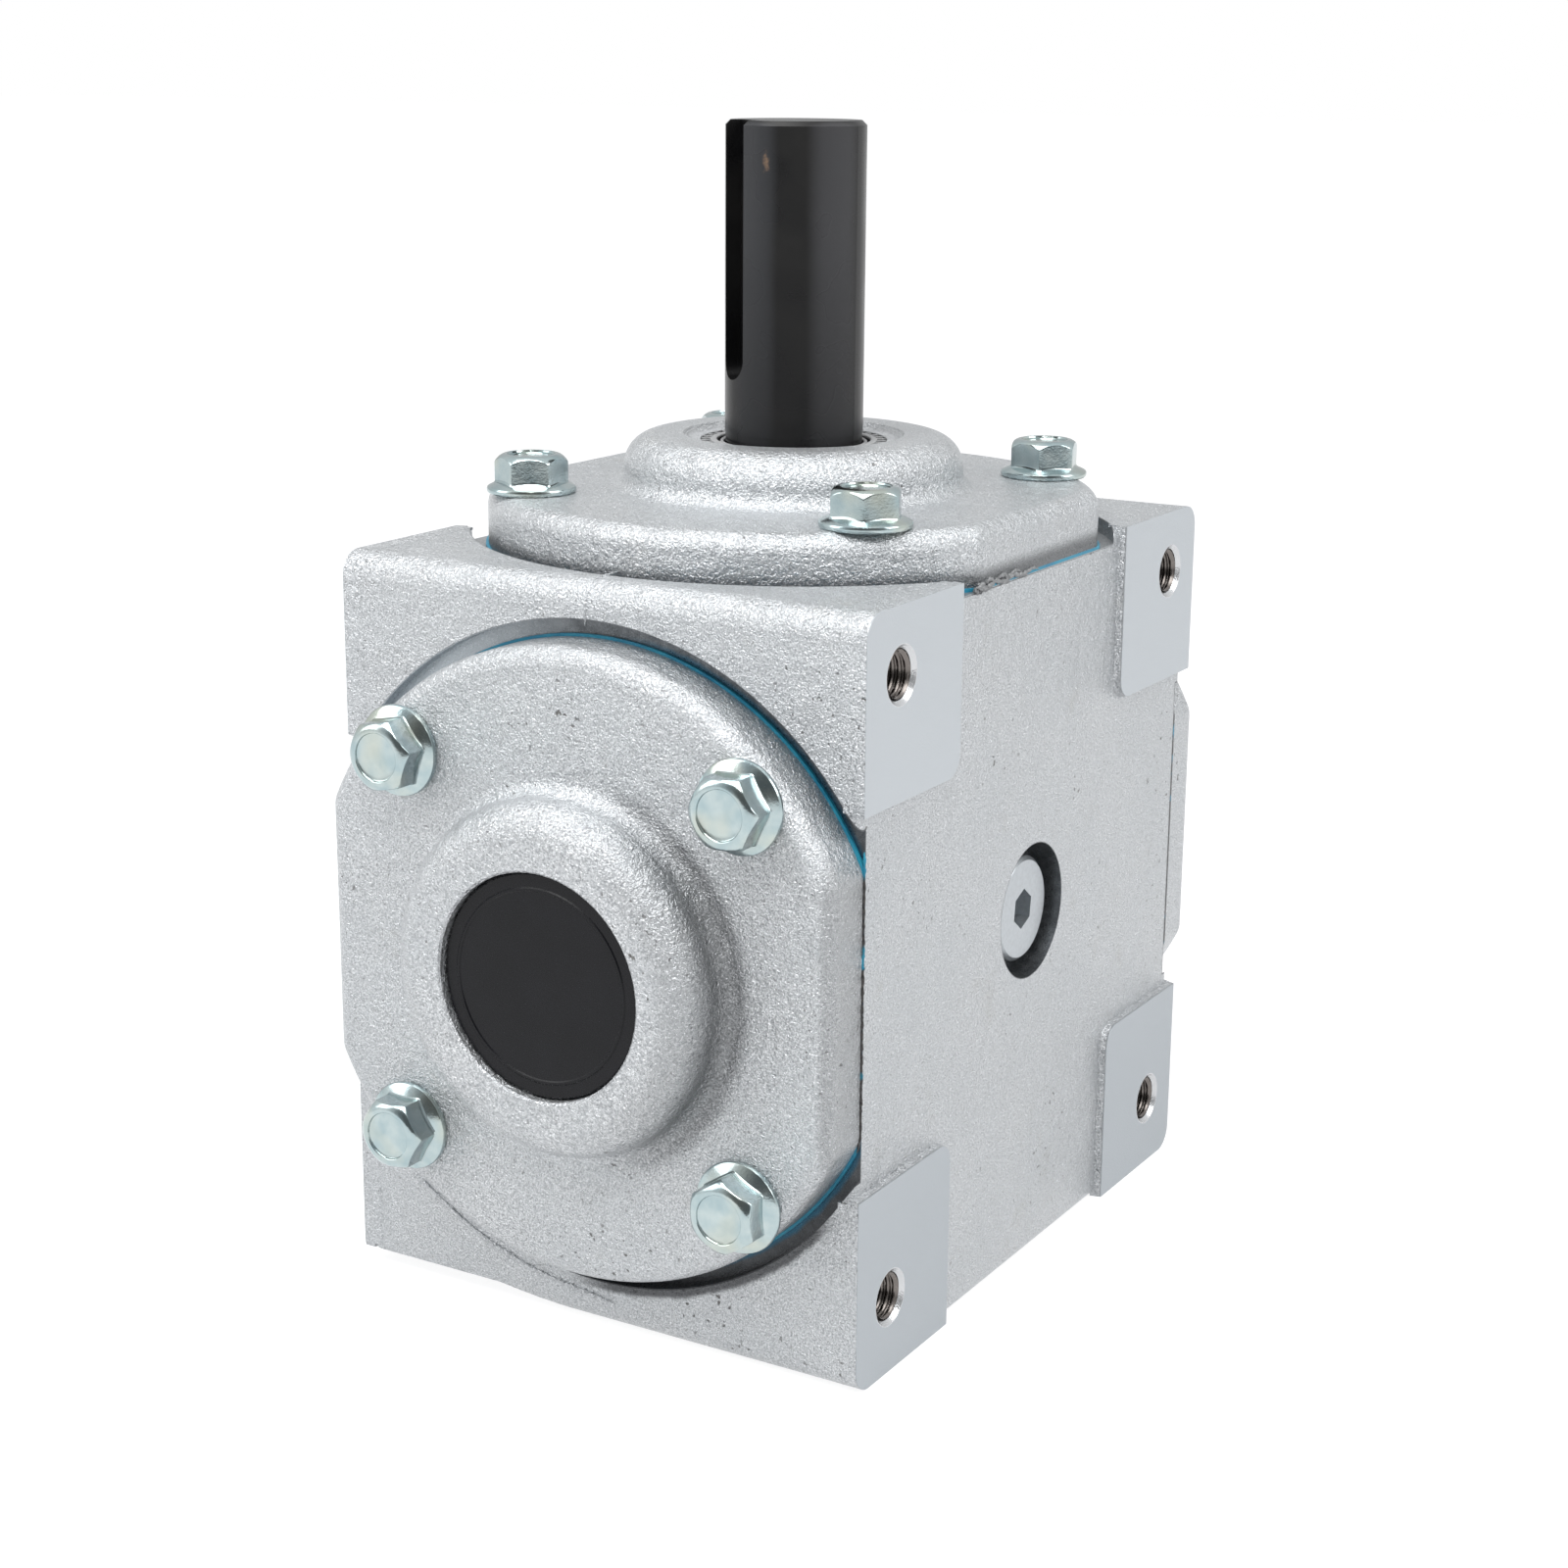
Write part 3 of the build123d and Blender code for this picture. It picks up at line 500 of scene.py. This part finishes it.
def seal_look(name, upright):
    """A rubber shaft seal: silver overspray on its rim and its raised rings, black grooves."""
    n = Nodes(name)
    x, y, z = n.place()
    side, tall = (y, z) if upright else (z, y)
    proud = n.reach(tall, SEAL_FACE - 0.7, SEAL_FACE - 0.4)
    rim = n.times(n.reach(n.across(x, side), 23.4, 23.6), proud)
    fine = n.noise(1900.0, 2.0, 0.6)
    rings = n.mix(n.span(fine, 0.35, 0.65), rgb(0.22, 0.225, 0.23), rgb(0.42, 0.425, 0.43))
    paint = n.mix(n.span(fine, 0.33, 0.68), rgb(0.36, 0.375, 0.39), rgb(0.70, 0.715, 0.73))
    tone = n.mix(proud, rgb(0.010, 0.010, 0.012), rings)
    tone = n.mix(rim, tone, paint)
    grains = n.math("ADD", fine, n.noise(700.0, 2.0))
    normal = n.bump(n.times(grains, rim), 0.0004, 0.9)
    return n.finish(tone, n.span(fine, 0.3, 0.7, 0.38, 0.48), n.times(rim, 0.5), normal)


def steel(name, tone, rough, metal=1.0):
    n = Nodes(name)
    fine = n.noise(900.0, 3.0, 0.6)
    color = n.mix(n.span(fine, 0.3, 0.7), tone, lighter(tone, 1.2))
    normal = n.bump(fine, 0.00003, 0.5)
    return n.finish(color, n.span(fine, 0.3, 0.7, rough - 0.05, rough + 0.05), metal, normal)


housing_paint = cast_paint("housing_paint", housing_regions, housing_painted_light_and_spill)
cover_paint = cast_paint("cover_paint", no_regions, cover_painted_shade)
zinc_mat = zinc("zinc_bolts")
gasket_mat = gasket_look("gasket_blue", False)
gasket_sealed = gasket_look("gasket_sealed", True)
cap_mat = rubber("cap_black", rgb(0.0045, 0.0047, 0.0062), 0.27)
seal_z = seal_look("seal_up", True)
seal_y = seal_look("seal_along", False)
shaft_z = black_oxide("black_oxide_up", True)
shaft_y = black_oxide("black_oxide_along", False)
plug_mat = steel("plug_silver", rgb(0.42, 0.445, 0.465), 0.34, 0.8)
sealant_mat = steel("sealant_grey", rgb(0.24, 0.245, 0.25), 0.42, 0.4)
# Steel darkened as painted shade inside the side holes.
shaded_thread_mat = steel("cut_thread", rgb(0.16, 0.145, 0.135), 0.24)
gear_mat = steel("gear_steel", rgb(0.30, 0.29, 0.28), 0.32)
spring_mat = steel("spring_steel", rgb(0.10, 0.10, 0.105), 0.35)
bearing_mat = steel("bearing_steel", rgb(0.62, 0.61, 0.60), 0.18)

by_slot = {
    "cast_paint": cover_paint,
    "gasket": gasket_mat,
    "zinc_steel": zinc_mat,
    "black_rubber": cap_mat,
    "plug_steel": plug_mat,
    "soft_metal": plug_mat,
    "gear_steel": gear_mat,
    "spring_steel": spring_mat,
    "bearing_steel": bearing_mat,
    "black_steel": shaft_z,
}
by_node = {
    "housing": housing_paint,
    "output_shaft": shaft_y,
    "input_shaft_seal": seal_z,
    "output_shaft_seal": seal_y,
    "front_gasket": gasket_sealed,
    "rear_gasket": gasket_sealed,
}
for entry in frame["record"]["subparts"]:
    node = entry["node"]
    materials = nodes[node].data.materials
    materials.clear()
    materials.append(by_node.get(node, by_slot[entry["material_slot"]]))


# Flange bolts

BOLT_TURNS = {
    "front": (41.0, 33.0, 31.0, 3.0),
    "top": (44.0, 17.5, 3.0, 25.0),
    "rear": (24.0, 50.0, 5.0, 33.0),
}
BOLT_STEPS = 72
BOLT_FLAT = 8.0             # half the width across flats
BOLT_CORNER = BOLT_FLAT / math.cos(math.pi / 6) - 0.12     # the corners are slightly rounded
BOLT_TOP = 9.6
BOLT_RADIUS = 4.98
BOLT_LENGTH = 35.0
CROWN_START = 6.35          # the top is flat up to here and domed beyond
# (radius, height from the top) of the dish in the top, and (radius, height) of the flange's rim
BOLT_DISH = ((2.0, -0.60), (4.5, -0.62), (5.55, -0.60), (5.78, -0.48), (5.95, -0.10), (6.08, -0.01))
BOLT_RIM = ((10.95, 1.50), (11.13, 1.15), (11.15, 0.75), (11.05, 0.30), (10.75, 0.0))


def crown_height(r):
    return BOLT_TOP - 0.249 * max(0.0, r - CROWN_START) ** 2


def cone_height(r):
    """Height of the flange's sloped upper face."""
    return 1.75 + (10.6 - r) * 0.42


def bolt_profile(edge):
    """(radius, height) points of a bolt from its top down, where its hexagon reaches out to edge."""
    dome = [CROWN_START + share * (edge - 6.5) for share in (0.0, 0.35, 0.70)]
    points = [(r, BOLT_TOP + drop) for r, drop in BOLT_DISH]
    points += [(r, crown_height(r)) for r in dome]
    points += [
        (edge - 0.16, crown_height(edge - 0.16)),
        (edge - 0.03, crown_height(edge) - 0.04),
        (edge, crown_height(edge) - 0.25),
        (edge, cone_height(edge) + 0.55),
        (edge + 0.05, cone_height(edge) + 0.25),
        (edge + 0.30, cone_height(edge + 0.3) + 0.02),
        (10.55, cone_height(10.55)),
    ]
    return points + list(BOLT_RIM) + [(BOLT_RADIUS, 0.0), (BOLT_RADIUS, -BOLT_LENGTH)]


def bolt_mesh():
    """A flange bolt with a domed hexagon, a dished top and a rounded flange, standing on Z = 0."""
    columns = []
    for i in range(BOLT_STEPS):
        a = 2 * math.pi * i / BOLT_STEPS
        from_flat = (a + math.pi / 6) % (math.pi / 3) - math.pi / 6
        edge = min(BOLT_FLAT / math.cos(from_flat), BOLT_CORNER)
        columns.append([(r * math.cos(a), r * math.sin(a), z) for r, z in bolt_profile(edge)])
    rings = [list(ring) for ring in zip(*columns)]
    return rings_mesh(rings, True)


for side, turns in BOLT_TURNS.items():
    whole = Mesh()
    verts, faces = bolt_mesh()
    places = [(x * BOLT_SPACING / 2, y * BOLT_SPACING / 2) for y in (1, -1) for x in (-1, 1)]
    for (x, y), turn in zip(places, turns):
        whole.add(verts, faces, side_matrix(side, x, y, FLANGE_TOP, turn))
    bolts = new_object(side + "_flange_bolts", whole, zinc_mat, sharp=28.0)
    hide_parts(side + "_cover_bolts")


# Threads in the side holes

THREAD_LENGTH = 23.5
THREAD_PITCH = 1.75
THREAD_ROOT = 5.97          # radius in the cut grooves
THREAD_CREST = 5.1
THREAD_STEPS = 40
RINGS_PER_TURN = 8


def thread_mesh():
    """The wall of a threaded hole, from Z = 0 down."""
    rings = []
    count = int(THREAD_LENGTH / THREAD_PITCH * RINGS_PER_TURN)
    for k in range(count + 1):
        ring = []
        for i in range(THREAD_STEPS):
            share = i / THREAD_STEPS
            phase = (k / RINGS_PER_TURN - share) % 1.0
            rise = abs(phase - 0.5) * 2
            rise = min(1.0, max(0.0, (rise - 0.12) / 0.72))
            r = THREAD_CREST + (THREAD_ROOT - THREAD_CREST) * rise
            a = 2 * math.pi * share
            ring.append((r * math.cos(a), r * math.sin(a), -k * THREAD_PITCH / RINGS_PER_TURN))
        rings.append(ring)
    return rings_mesh(rings, False)


for side in ("right", "left"):
    whole = Mesh()
    verts, faces = thread_mesh()
    for x in (-1, 1):
        for y in (-1, 1):
            place = side_matrix(side, x * HOLE_SPACING / 2, y * HOLE_SPACING / 2, PAD_HALF - 1.0)
            whole.add(verts, faces, place)
    new_object(side + "_hole_threads", whole, shaded_thread_mat, sharp=50.0)


# Shaft seals

SEAL_STEPS = 128
SEAL_RIBS = 40
RIB_HALF = 0.62
RIB_INNER = 21.1
RIB_OUTER = 23.6
RIB_TOP = -0.2              # below the seal's face
RIB_FOOT = -1.62
# (radius, height from the seal's face) round a seal's section, from the outer wall to the inner one
SEAL_PROFILE = (
    (27.46, -7.5), (27.46, 1.0), (27.2, 0.95), (26.8, 0.55), (26.3, 0.2), (25.7, 0.0), (23.8, 0.0),
    (23.58, -0.15), (23.5, -1.6), (21.2, -1.6), (21.13, -0.15), (20.95, 0.0), (19.7, 0.0), (19.5, -0.2),
    (19.4, -1.7), (18.75, -1.8), (18.65, -0.6), (18.35, -0.35), (17.75, -0.6), (17.45, -1.1),
    (17.42, -7.5), (27.46, -7.5),
)


def seal_mesh():
    """The seal's rings as a closed profile, with short ribs across the open groove."""
    whole = Mesh()
    whole.add(*lathe([(r, SEAL_FACE + h) for r, h in SEAL_PROFILE], SEAL_STEPS))
    outline = ((RIB_INNER, -RIB_HALF), (RIB_OUTER, -RIB_HALF), (RIB_OUTER, RIB_HALF), (RIB_INNER, RIB_HALF))
    corners = [(r, w, SEAL_FACE + h) for h in (RIB_FOOT, RIB_TOP) for r, w in outline]
    faces = [(0, 1, 5, 4), (1, 2, 6, 5), (2, 3, 7, 6), (3, 0, 4, 7), (4, 5, 6, 7), (3, 2, 1, 0)]
    for i in range(SEAL_RIBS):
        whole.add(corners, faces, Matrix.Rotation(2 * math.pi * i / SEAL_RIBS, 4, "Z"))
    return whole


for side, node, mat in (("top", "input_shaft_seal", seal_z), ("rear", "output_shaft_seal", seal_y)):
    rings = seal_mesh()
    whole = Mesh()
    whole.add(rings.verts, rings.faces, side_matrix(side))
    seal = new_object(side + "_seal", whole, mat)
    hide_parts(node)


# Thin skins on the side pads' edges

SKIN_PROUD = 0.03
SKIN_DEPTH = 0.6
SKIN_INNER = 67.0           # from X here
SKIN_OUTER = 72.35          # to here
SKIN_FOOT = 89.0            # the skin of the left front foot ends here, above the land
CORNER_STEPS = 8


def skin_strip(edge, low_x, high_x):
    """A thin band along an edge of (y, z, normal y, normal z) points."""
    section = ((low_x, -SKIN_DEPTH), (low_x, SKIN_PROUD), (high_x, SKIN_PROUD), (high_x, -SKIN_DEPTH))
    rings = [[(x, y + ny * d, z + nz * d) for x, d in section] for y, z, ny, nz in edge]
    return rings_mesh(rings, True)


def pad_edge(front, top, round_corner):
    """The outer edge of one side pad, round the housing's corner. front and top are -1 or 1."""
    high = BLOCK_REACH if top > 0 else LIFT
    edge = [(front * BLOCK_REACH, top * PAD_INNER, front, 0)]
    if not round_corner:
        return edge + [(front * BLOCK_REACH, top * SKIN_FOOT, front, 0)]
    for k in range(CORNER_STEPS + 1):
        a = math.radians(90 * k / CORNER_STEPS)
        y = BLOCK_REACH - EDGE_RADIUS + EDGE_RADIUS * math.cos(a)
        z = high - EDGE_RADIUS + EDGE_RADIUS * math.sin(a)
        edge.append((front * y, top * z, front * math.cos(a), top * math.sin(a)))
    return edge + [(front * PAD_INNER, top * high, 0, top)]


skins = Mesh()
for left in (-1, 1):
    low_x, high_x = sorted((left * SKIN_INNER, left * SKIN_OUTER))
    for front in (-1, 1):
        for top in (-1, 1):
            cut_foot = left < 0 and top < 0 and front < 0
            skins.add(*skin_strip(pad_edge(front, top, not cut_foot), low_x, high_x), CROSSING)
new_object("pad_edge_skins", skins, cover_paint)


# Beads: flash on the casting and scraps of sealant

BEAD_SIDES = 8
FLASH_RADIUS = 86.0
FLASH_START = -131.0        # degrees about Y
FLASH_TURN = 45.0
PARTING_X = -1.5
# start and length along Y, height and half width of each strand under the top cover's flange
TORN_STRANDS = ((-36.0, 34.0, 87.75, 0.62), (-35.0, 24.0, 88.65, 0.50), (-37.0, 8.0, 87.2, 0.55))
SEALANT_X = CAST_HALF + 0.05
SCRAPED_Y = -87.35
SCRAPED_TOP = 37.0
SCRAPED_LENGTH = 69.0


def bead(points, widths):
    """A lumpy bead through points, as rings of the given half widths."""
    rings = []
    for i, point in enumerate(points):
        before = points[max(0, i - 1)]
        after = points[min(len(points) - 1, i + 1)]
        along = (Vector(after) - Vector(before)).normalized()
        out = Vector((0, -1, 0)) if abs(along.y) < 0.9 else Vector((1, 0, 0))
        flat = along.cross(out).normalized()
        out = flat.cross(along)
        ring = []
        for k in range(BEAD_SIDES):
            a = 2 * math.pi * k / BEAD_SIDES
            to_side = flat * (widths[i] * math.cos(a))
            ring.append(Vector(point) + to_side + out * (0.75 * widths[i] * math.sin(a)))
        rings.append(ring)
    return rings_mesh(rings, True)


def taper(from_start, start_steps, from_end, end_steps):
    """1, and less near the ends of a bead."""
    return min(1.0, from_start / start_steps, from_end / end_steps)


def recess_ridge(rng, count=90):
    """Flash along the lower left of the recess round the front cover."""
    points = []
    widths = []
    for k in range(count):
        a = math.radians(FLASH_START + FLASH_TURN * k / (count - 1))
        last_bend = 1.6 * max(0.0, (k - 70) / 19) ** 2
        first_bend = 1.9 * max(0.0, (12 - k) / 12) ** 2
        r = FLASH_RADIUS + last_bend + first_bend + rng.uniform(-0.09, 0.09)
        points.append((r * math.cos(a), 0.08 - BLOCK_REACH, r * math.sin(a)))
        widths.append((0.80 + rng.uniform(-0.2, 0.2)) * taper(k + 1, 8, count - k, 10))
    return bead(points, widths)


def parting_line(rng, count=40):
    """The moulds' parting line, up the front face, round the edge and back over the top."""
    corner = BLOCK_REACH - EDGE_RADIUS
    points = []
    widths = []
    for k in range(count):
        a = math.radians(90 * min(1.0, max(0.0, (k - 8) / 12)))
        y = -corner - EDGE_RADIUS * math.cos(a) + max(0.0, k - 20) * 0.5
        z = corner + EDGE_RADIUS * math.sin(a) - max(0.0, 8 - k) * 0.55
        points.append((PARTING_X + rng.uniform(-0.07, 0.07), y, z))
        widths.append((0.34 + rng.uniform(-0.1, 0.1)) * taper(k + 1, 6, count - k, 8))
    return bead(points, widths)


def torn_strand(rng, start, length, height, thick, count=70):
    """A strand of torn sealant under the top cover's right side."""
    points = []
    widths = []
    for k in range(count):
        waves = 0.55 * math.sin(k * 1.7 + start) * math.sin(k * 0.43)
        lump = thick * (1.0 + waves + rng.uniform(-0.3, 0.3))
        drop = 0.35 * math.sin(k * 0.31 + start) + rng.uniform(-0.15, 0.15)
        x = SEALANT_X + rng.uniform(-0.1, 0.2)
        points.append((x, start + length * k / (count - 1), height + drop))
        widths.append(max(0.12, lump) * taper(k + 2, 6, count - k, 16))
    return bead(points, widths)


def scraped_strand(rng, count=120):
    """A strand of scraped sealant behind the front cover's right side."""
    points = []
    widths = []
    for k in range(count):
        x = SEALANT_X + rng.uniform(-0.05, 0.12)
        y = SCRAPED_Y + rng.uniform(-0.12, 0.12)
        points.append((x, y, SCRAPED_TOP - SCRAPED_LENGTH * k / (count - 1)))
        width = 0.24 + 0.16 * abs(math.sin(k * 0.57)) + rng.uniform(-0.1, 0.14)
        widths.append(width * taper(k + 2, 5, count + 1 - k, 5))
    return bead(points, widths)


rng = random.Random(7)
flash = Mesh()
flash.add(*recess_ridge(rng), CROSSING)
flash.add(*parting_line(rng), CROSSING)
new_object("recess_flash", flash, cover_paint, sharp=80.0)

torn = Mesh()
for strand in TORN_STRANDS:
    torn.add(*torn_strand(rng, *strand), CROSSING)
new_object("torn_sealant", torn, sealant_mat, sharp=80.0)

scraped = Mesh()
scraped.add(*scraped_strand(rng), CROSSING)
new_object("scraped_sealant", scraped, gasket_sealed, sharp=80.0)


# Camera, fitted to the photograph

CAMERA_TURNS = (30.6619, 14.9282, 0.4345)          # azimuth, elevation and roll in degrees
CAMERA_PLACE = (0.354237, -0.601077, 0.208813)     # metres about the crossing point
FOCAL_PIXELS = 2814.106
PHOTO_PIXELS = 1600
SENSOR_WIDTH = 36.0


def camera_pose():
    azimuth, elevation, roll = (math.radians(v) for v in CAMERA_TURNS)
    flat = math.cos(elevation)
    back = Vector((math.sin(azimuth) * flat, -math.cos(azimuth) * flat, math.sin(elevation)))
    level = Vector((math.cos(azimuth), math.sin(azimuth), 0))
    upright = back.cross(level)
    right = level * math.cos(roll) + upright * math.sin(roll)
    up = upright * math.cos(roll) - level * math.sin(roll)
    pose = Matrix((right, up, back)).transposed().to_4x4()
    x, y, z = CAMERA_PLACE
    pose.translation = Vector((x, y, z + LIFT * MM))
    return pose


cam_data = bpy.data.cameras.new("camera")
cam_data.sensor_width = SENSOR_WIDTH
cam_data.lens = FOCAL_PIXELS / PHOTO_PIXELS * SENSOR_WIDTH
cam = bpy.data.objects.new("camera", cam_data)
bpy.context.scene.collection.objects.link(cam)
cam.matrix_world = camera_pose()
bpy.context.scene.camera = cam


# Floor, world and lamps

FLOOR_REACH = 12.0
FLOOR_HEIGHT = -0.0002      # just below the land
VIEWER = (0.50, -0.84, 0.20)                       # direction of the photographer
SKY_TONE = rgb(0.985, 0.993, 1.0)
WHITE = rgb(1, 1, 1)
LAMP_AIM = (0, 0, 0.1)
LAMPS = (
    ("softbox_top", (0.02, -0.52, 1.30), (1.2, 0.9), 18.5),
    ("softbox_left", (-1.25, -1.05, 0.95), (0.9, 1.2), 7.8),
    ("softbox_right", (1.30, 0.25, 1.10), (0.7, 0.9), 8.5),
)


def shader(tree, kind, *values):
    """A shader node with its first inputs set."""
    n = tree.nodes.new(kind)
    for socket, value in zip(n.inputs, values):
        socket.default_value = value
    return n


def joined(tree, operation, a, b):
    """One value from two sockets."""
    n = tree.nodes.new("ShaderNodeMath")
    n.operation = operation
    tree.links.new(a, n.inputs[0])
    tree.links.new(b, n.inputs[1])
    return n.outputs[0]


def shader_mix(tree, share, plain, special):
    """The plain shader, and the special one where the share is 1."""
    n = tree.nodes.new("ShaderNodeMixShader")
    tree.links.new(share, n.inputs[0])
    tree.links.new(plain.outputs[0], n.inputs[1])
    tree.links.new(special.outputs[0], n.inputs[2])
    return n


def floor_material():
    """A floor that lights the object as a grey one, and that shows as nearly white itself."""
    mat = bpy.data.materials.new("studio_floor")
    mat.use_nodes = True
    tree = mat.node_tree
    tree.nodes.clear()
    out = tree.nodes.new("ShaderNodeOutputMaterial")
    rays = tree.nodes.new("ShaderNodeLightPath").outputs
    plain = shader(tree, "ShaderNodeBsdfDiffuse", rgb(0.60, 0.60, 0.61))
    matt = shader(tree, "ShaderNodeBsdfDiffuse", rgb(0.26, 0.26, 0.265))
    glow = shader(tree, "ShaderNodeEmission", WHITE, 0.86)
    shown = tree.nodes.new("ShaderNodeAddShader")
    tree.links.new(matt.outputs[0], shown.inputs[0])
    tree.links.new(glow.outputs[0], shown.inputs[1])
    direct = joined(tree, "MAXIMUM", rays["Is Camera Ray"], rays["Is Glossy Ray"])
    direct = joined(tree, "MAXIMUM", direct, rays["Is Transmission Ray"])
    both = shader_mix(tree, direct, plain, shown)
    tree.links.new(both.outputs[0], out.inputs[0])
    return mat


def level_along(tree, value, low, high, to_low, to_high, kind):
    n = tree.nodes.new("ShaderNodeMapRange")
    n.interpolation_type = kind
    tree.links.new(value, n.inputs[0])
    for socket, v in zip(n.inputs[1:5], (low, high, to_low, to_high)):
        socket.default_value = v
    return n.outputs[0]


def dome(tree, toward, name, bright, dim, behind):
    """Sky that is dim on the photographer's side and has its own level on the far side."""
    level = level_along(tree, toward, 0.34, 0.90, bright, dim, "SMOOTHSTEP")
    far_level = level_along(tree, toward, -0.90, -0.15, behind, 1.0, "LINEAR")
    sky = shader(tree, "ShaderNodeBackground", SKY_TONE)
    sky.name = name
    tree.links.new(joined(tree, "MULTIPLY", level, far_level), sky.inputs[1])
    return sky


def studio_world():
    """A white backdrop to the camera, with softer domes for light and reflections."""
    world = bpy.data.worlds.new("studio")
    bpy.context.scene.world = world
    world.use_nodes = True
    tree = world.node_tree
    tree.nodes.clear()
    out = tree.nodes.new("ShaderNodeOutputWorld")
    rays = tree.nodes.new("ShaderNodeLightPath").outputs
    coord = tree.nodes.new("ShaderNodeTexCoord")
    facing = tree.nodes.new("ShaderNodeVectorMath")
    facing.operation = "DOT_PRODUCT"
    tree.links.new(coord.outputs["Generated"], facing.inputs[0])
    facing.inputs[1].default_value = VIEWER
    toward = facing.outputs["Value"]
    lit = dome(tree, toward, "sky_light", 0.62, 0.40, 1.0)
    reflected = dome(tree, toward, "sky_reflected", 1.0, 0.16, 0.64)
    backdrop = shader(tree, "ShaderNodeBackground", WHITE, 1.0)
    sky = shader_mix(tree, rays["Is Glossy Ray"], lit, reflected)
    sky = shader_mix(tree, rays["Is Transmission Ray"], sky, backdrop)
    sky = shader_mix(tree, rays["Is Camera Ray"], sky, backdrop)
    tree.links.new(sky.outputs[0], out.inputs[0])


def softbox(name, place, size, power):
    data = bpy.data.lights.new(name, "AREA")
    data.shape = "RECTANGLE"
    data.size, data.size_y = size
    data.energy = power
    lamp = bpy.data.objects.new(name, data)
    bpy.context.scene.collection.objects.link(lamp)
    lamp.location = place
    lamp.rotation_mode = "QUATERNION"
    lamp.rotation_quaternion = (Vector(LAMP_AIM) - Vector(place)).to_track_quat("-Z", "Y")
    lamp.visible_camera = False


floor_mesh = bpy.data.meshes.new("studio_floor")
floor_corners = [(x * FLOOR_REACH, y * FLOOR_REACH, 0) for x, y in ((-1, -1), (1, -1), (1, 1), (-1, 1))]
floor_mesh.from_pydata(floor_corners, [], [(0, 1, 2, 3)])
floor_mesh.materials.append(floor_material())
floor = bpy.data.objects.new("studio_floor", floor_mesh)
bpy.context.scene.collection.objects.link(floor)
floor.location = (0, 0, FLOOR_HEIGHT)

studio_world()
for lamp in LAMPS:
    softbox(*lamp)

bpy.context.scene.view_settings.view_transform = "Standard"
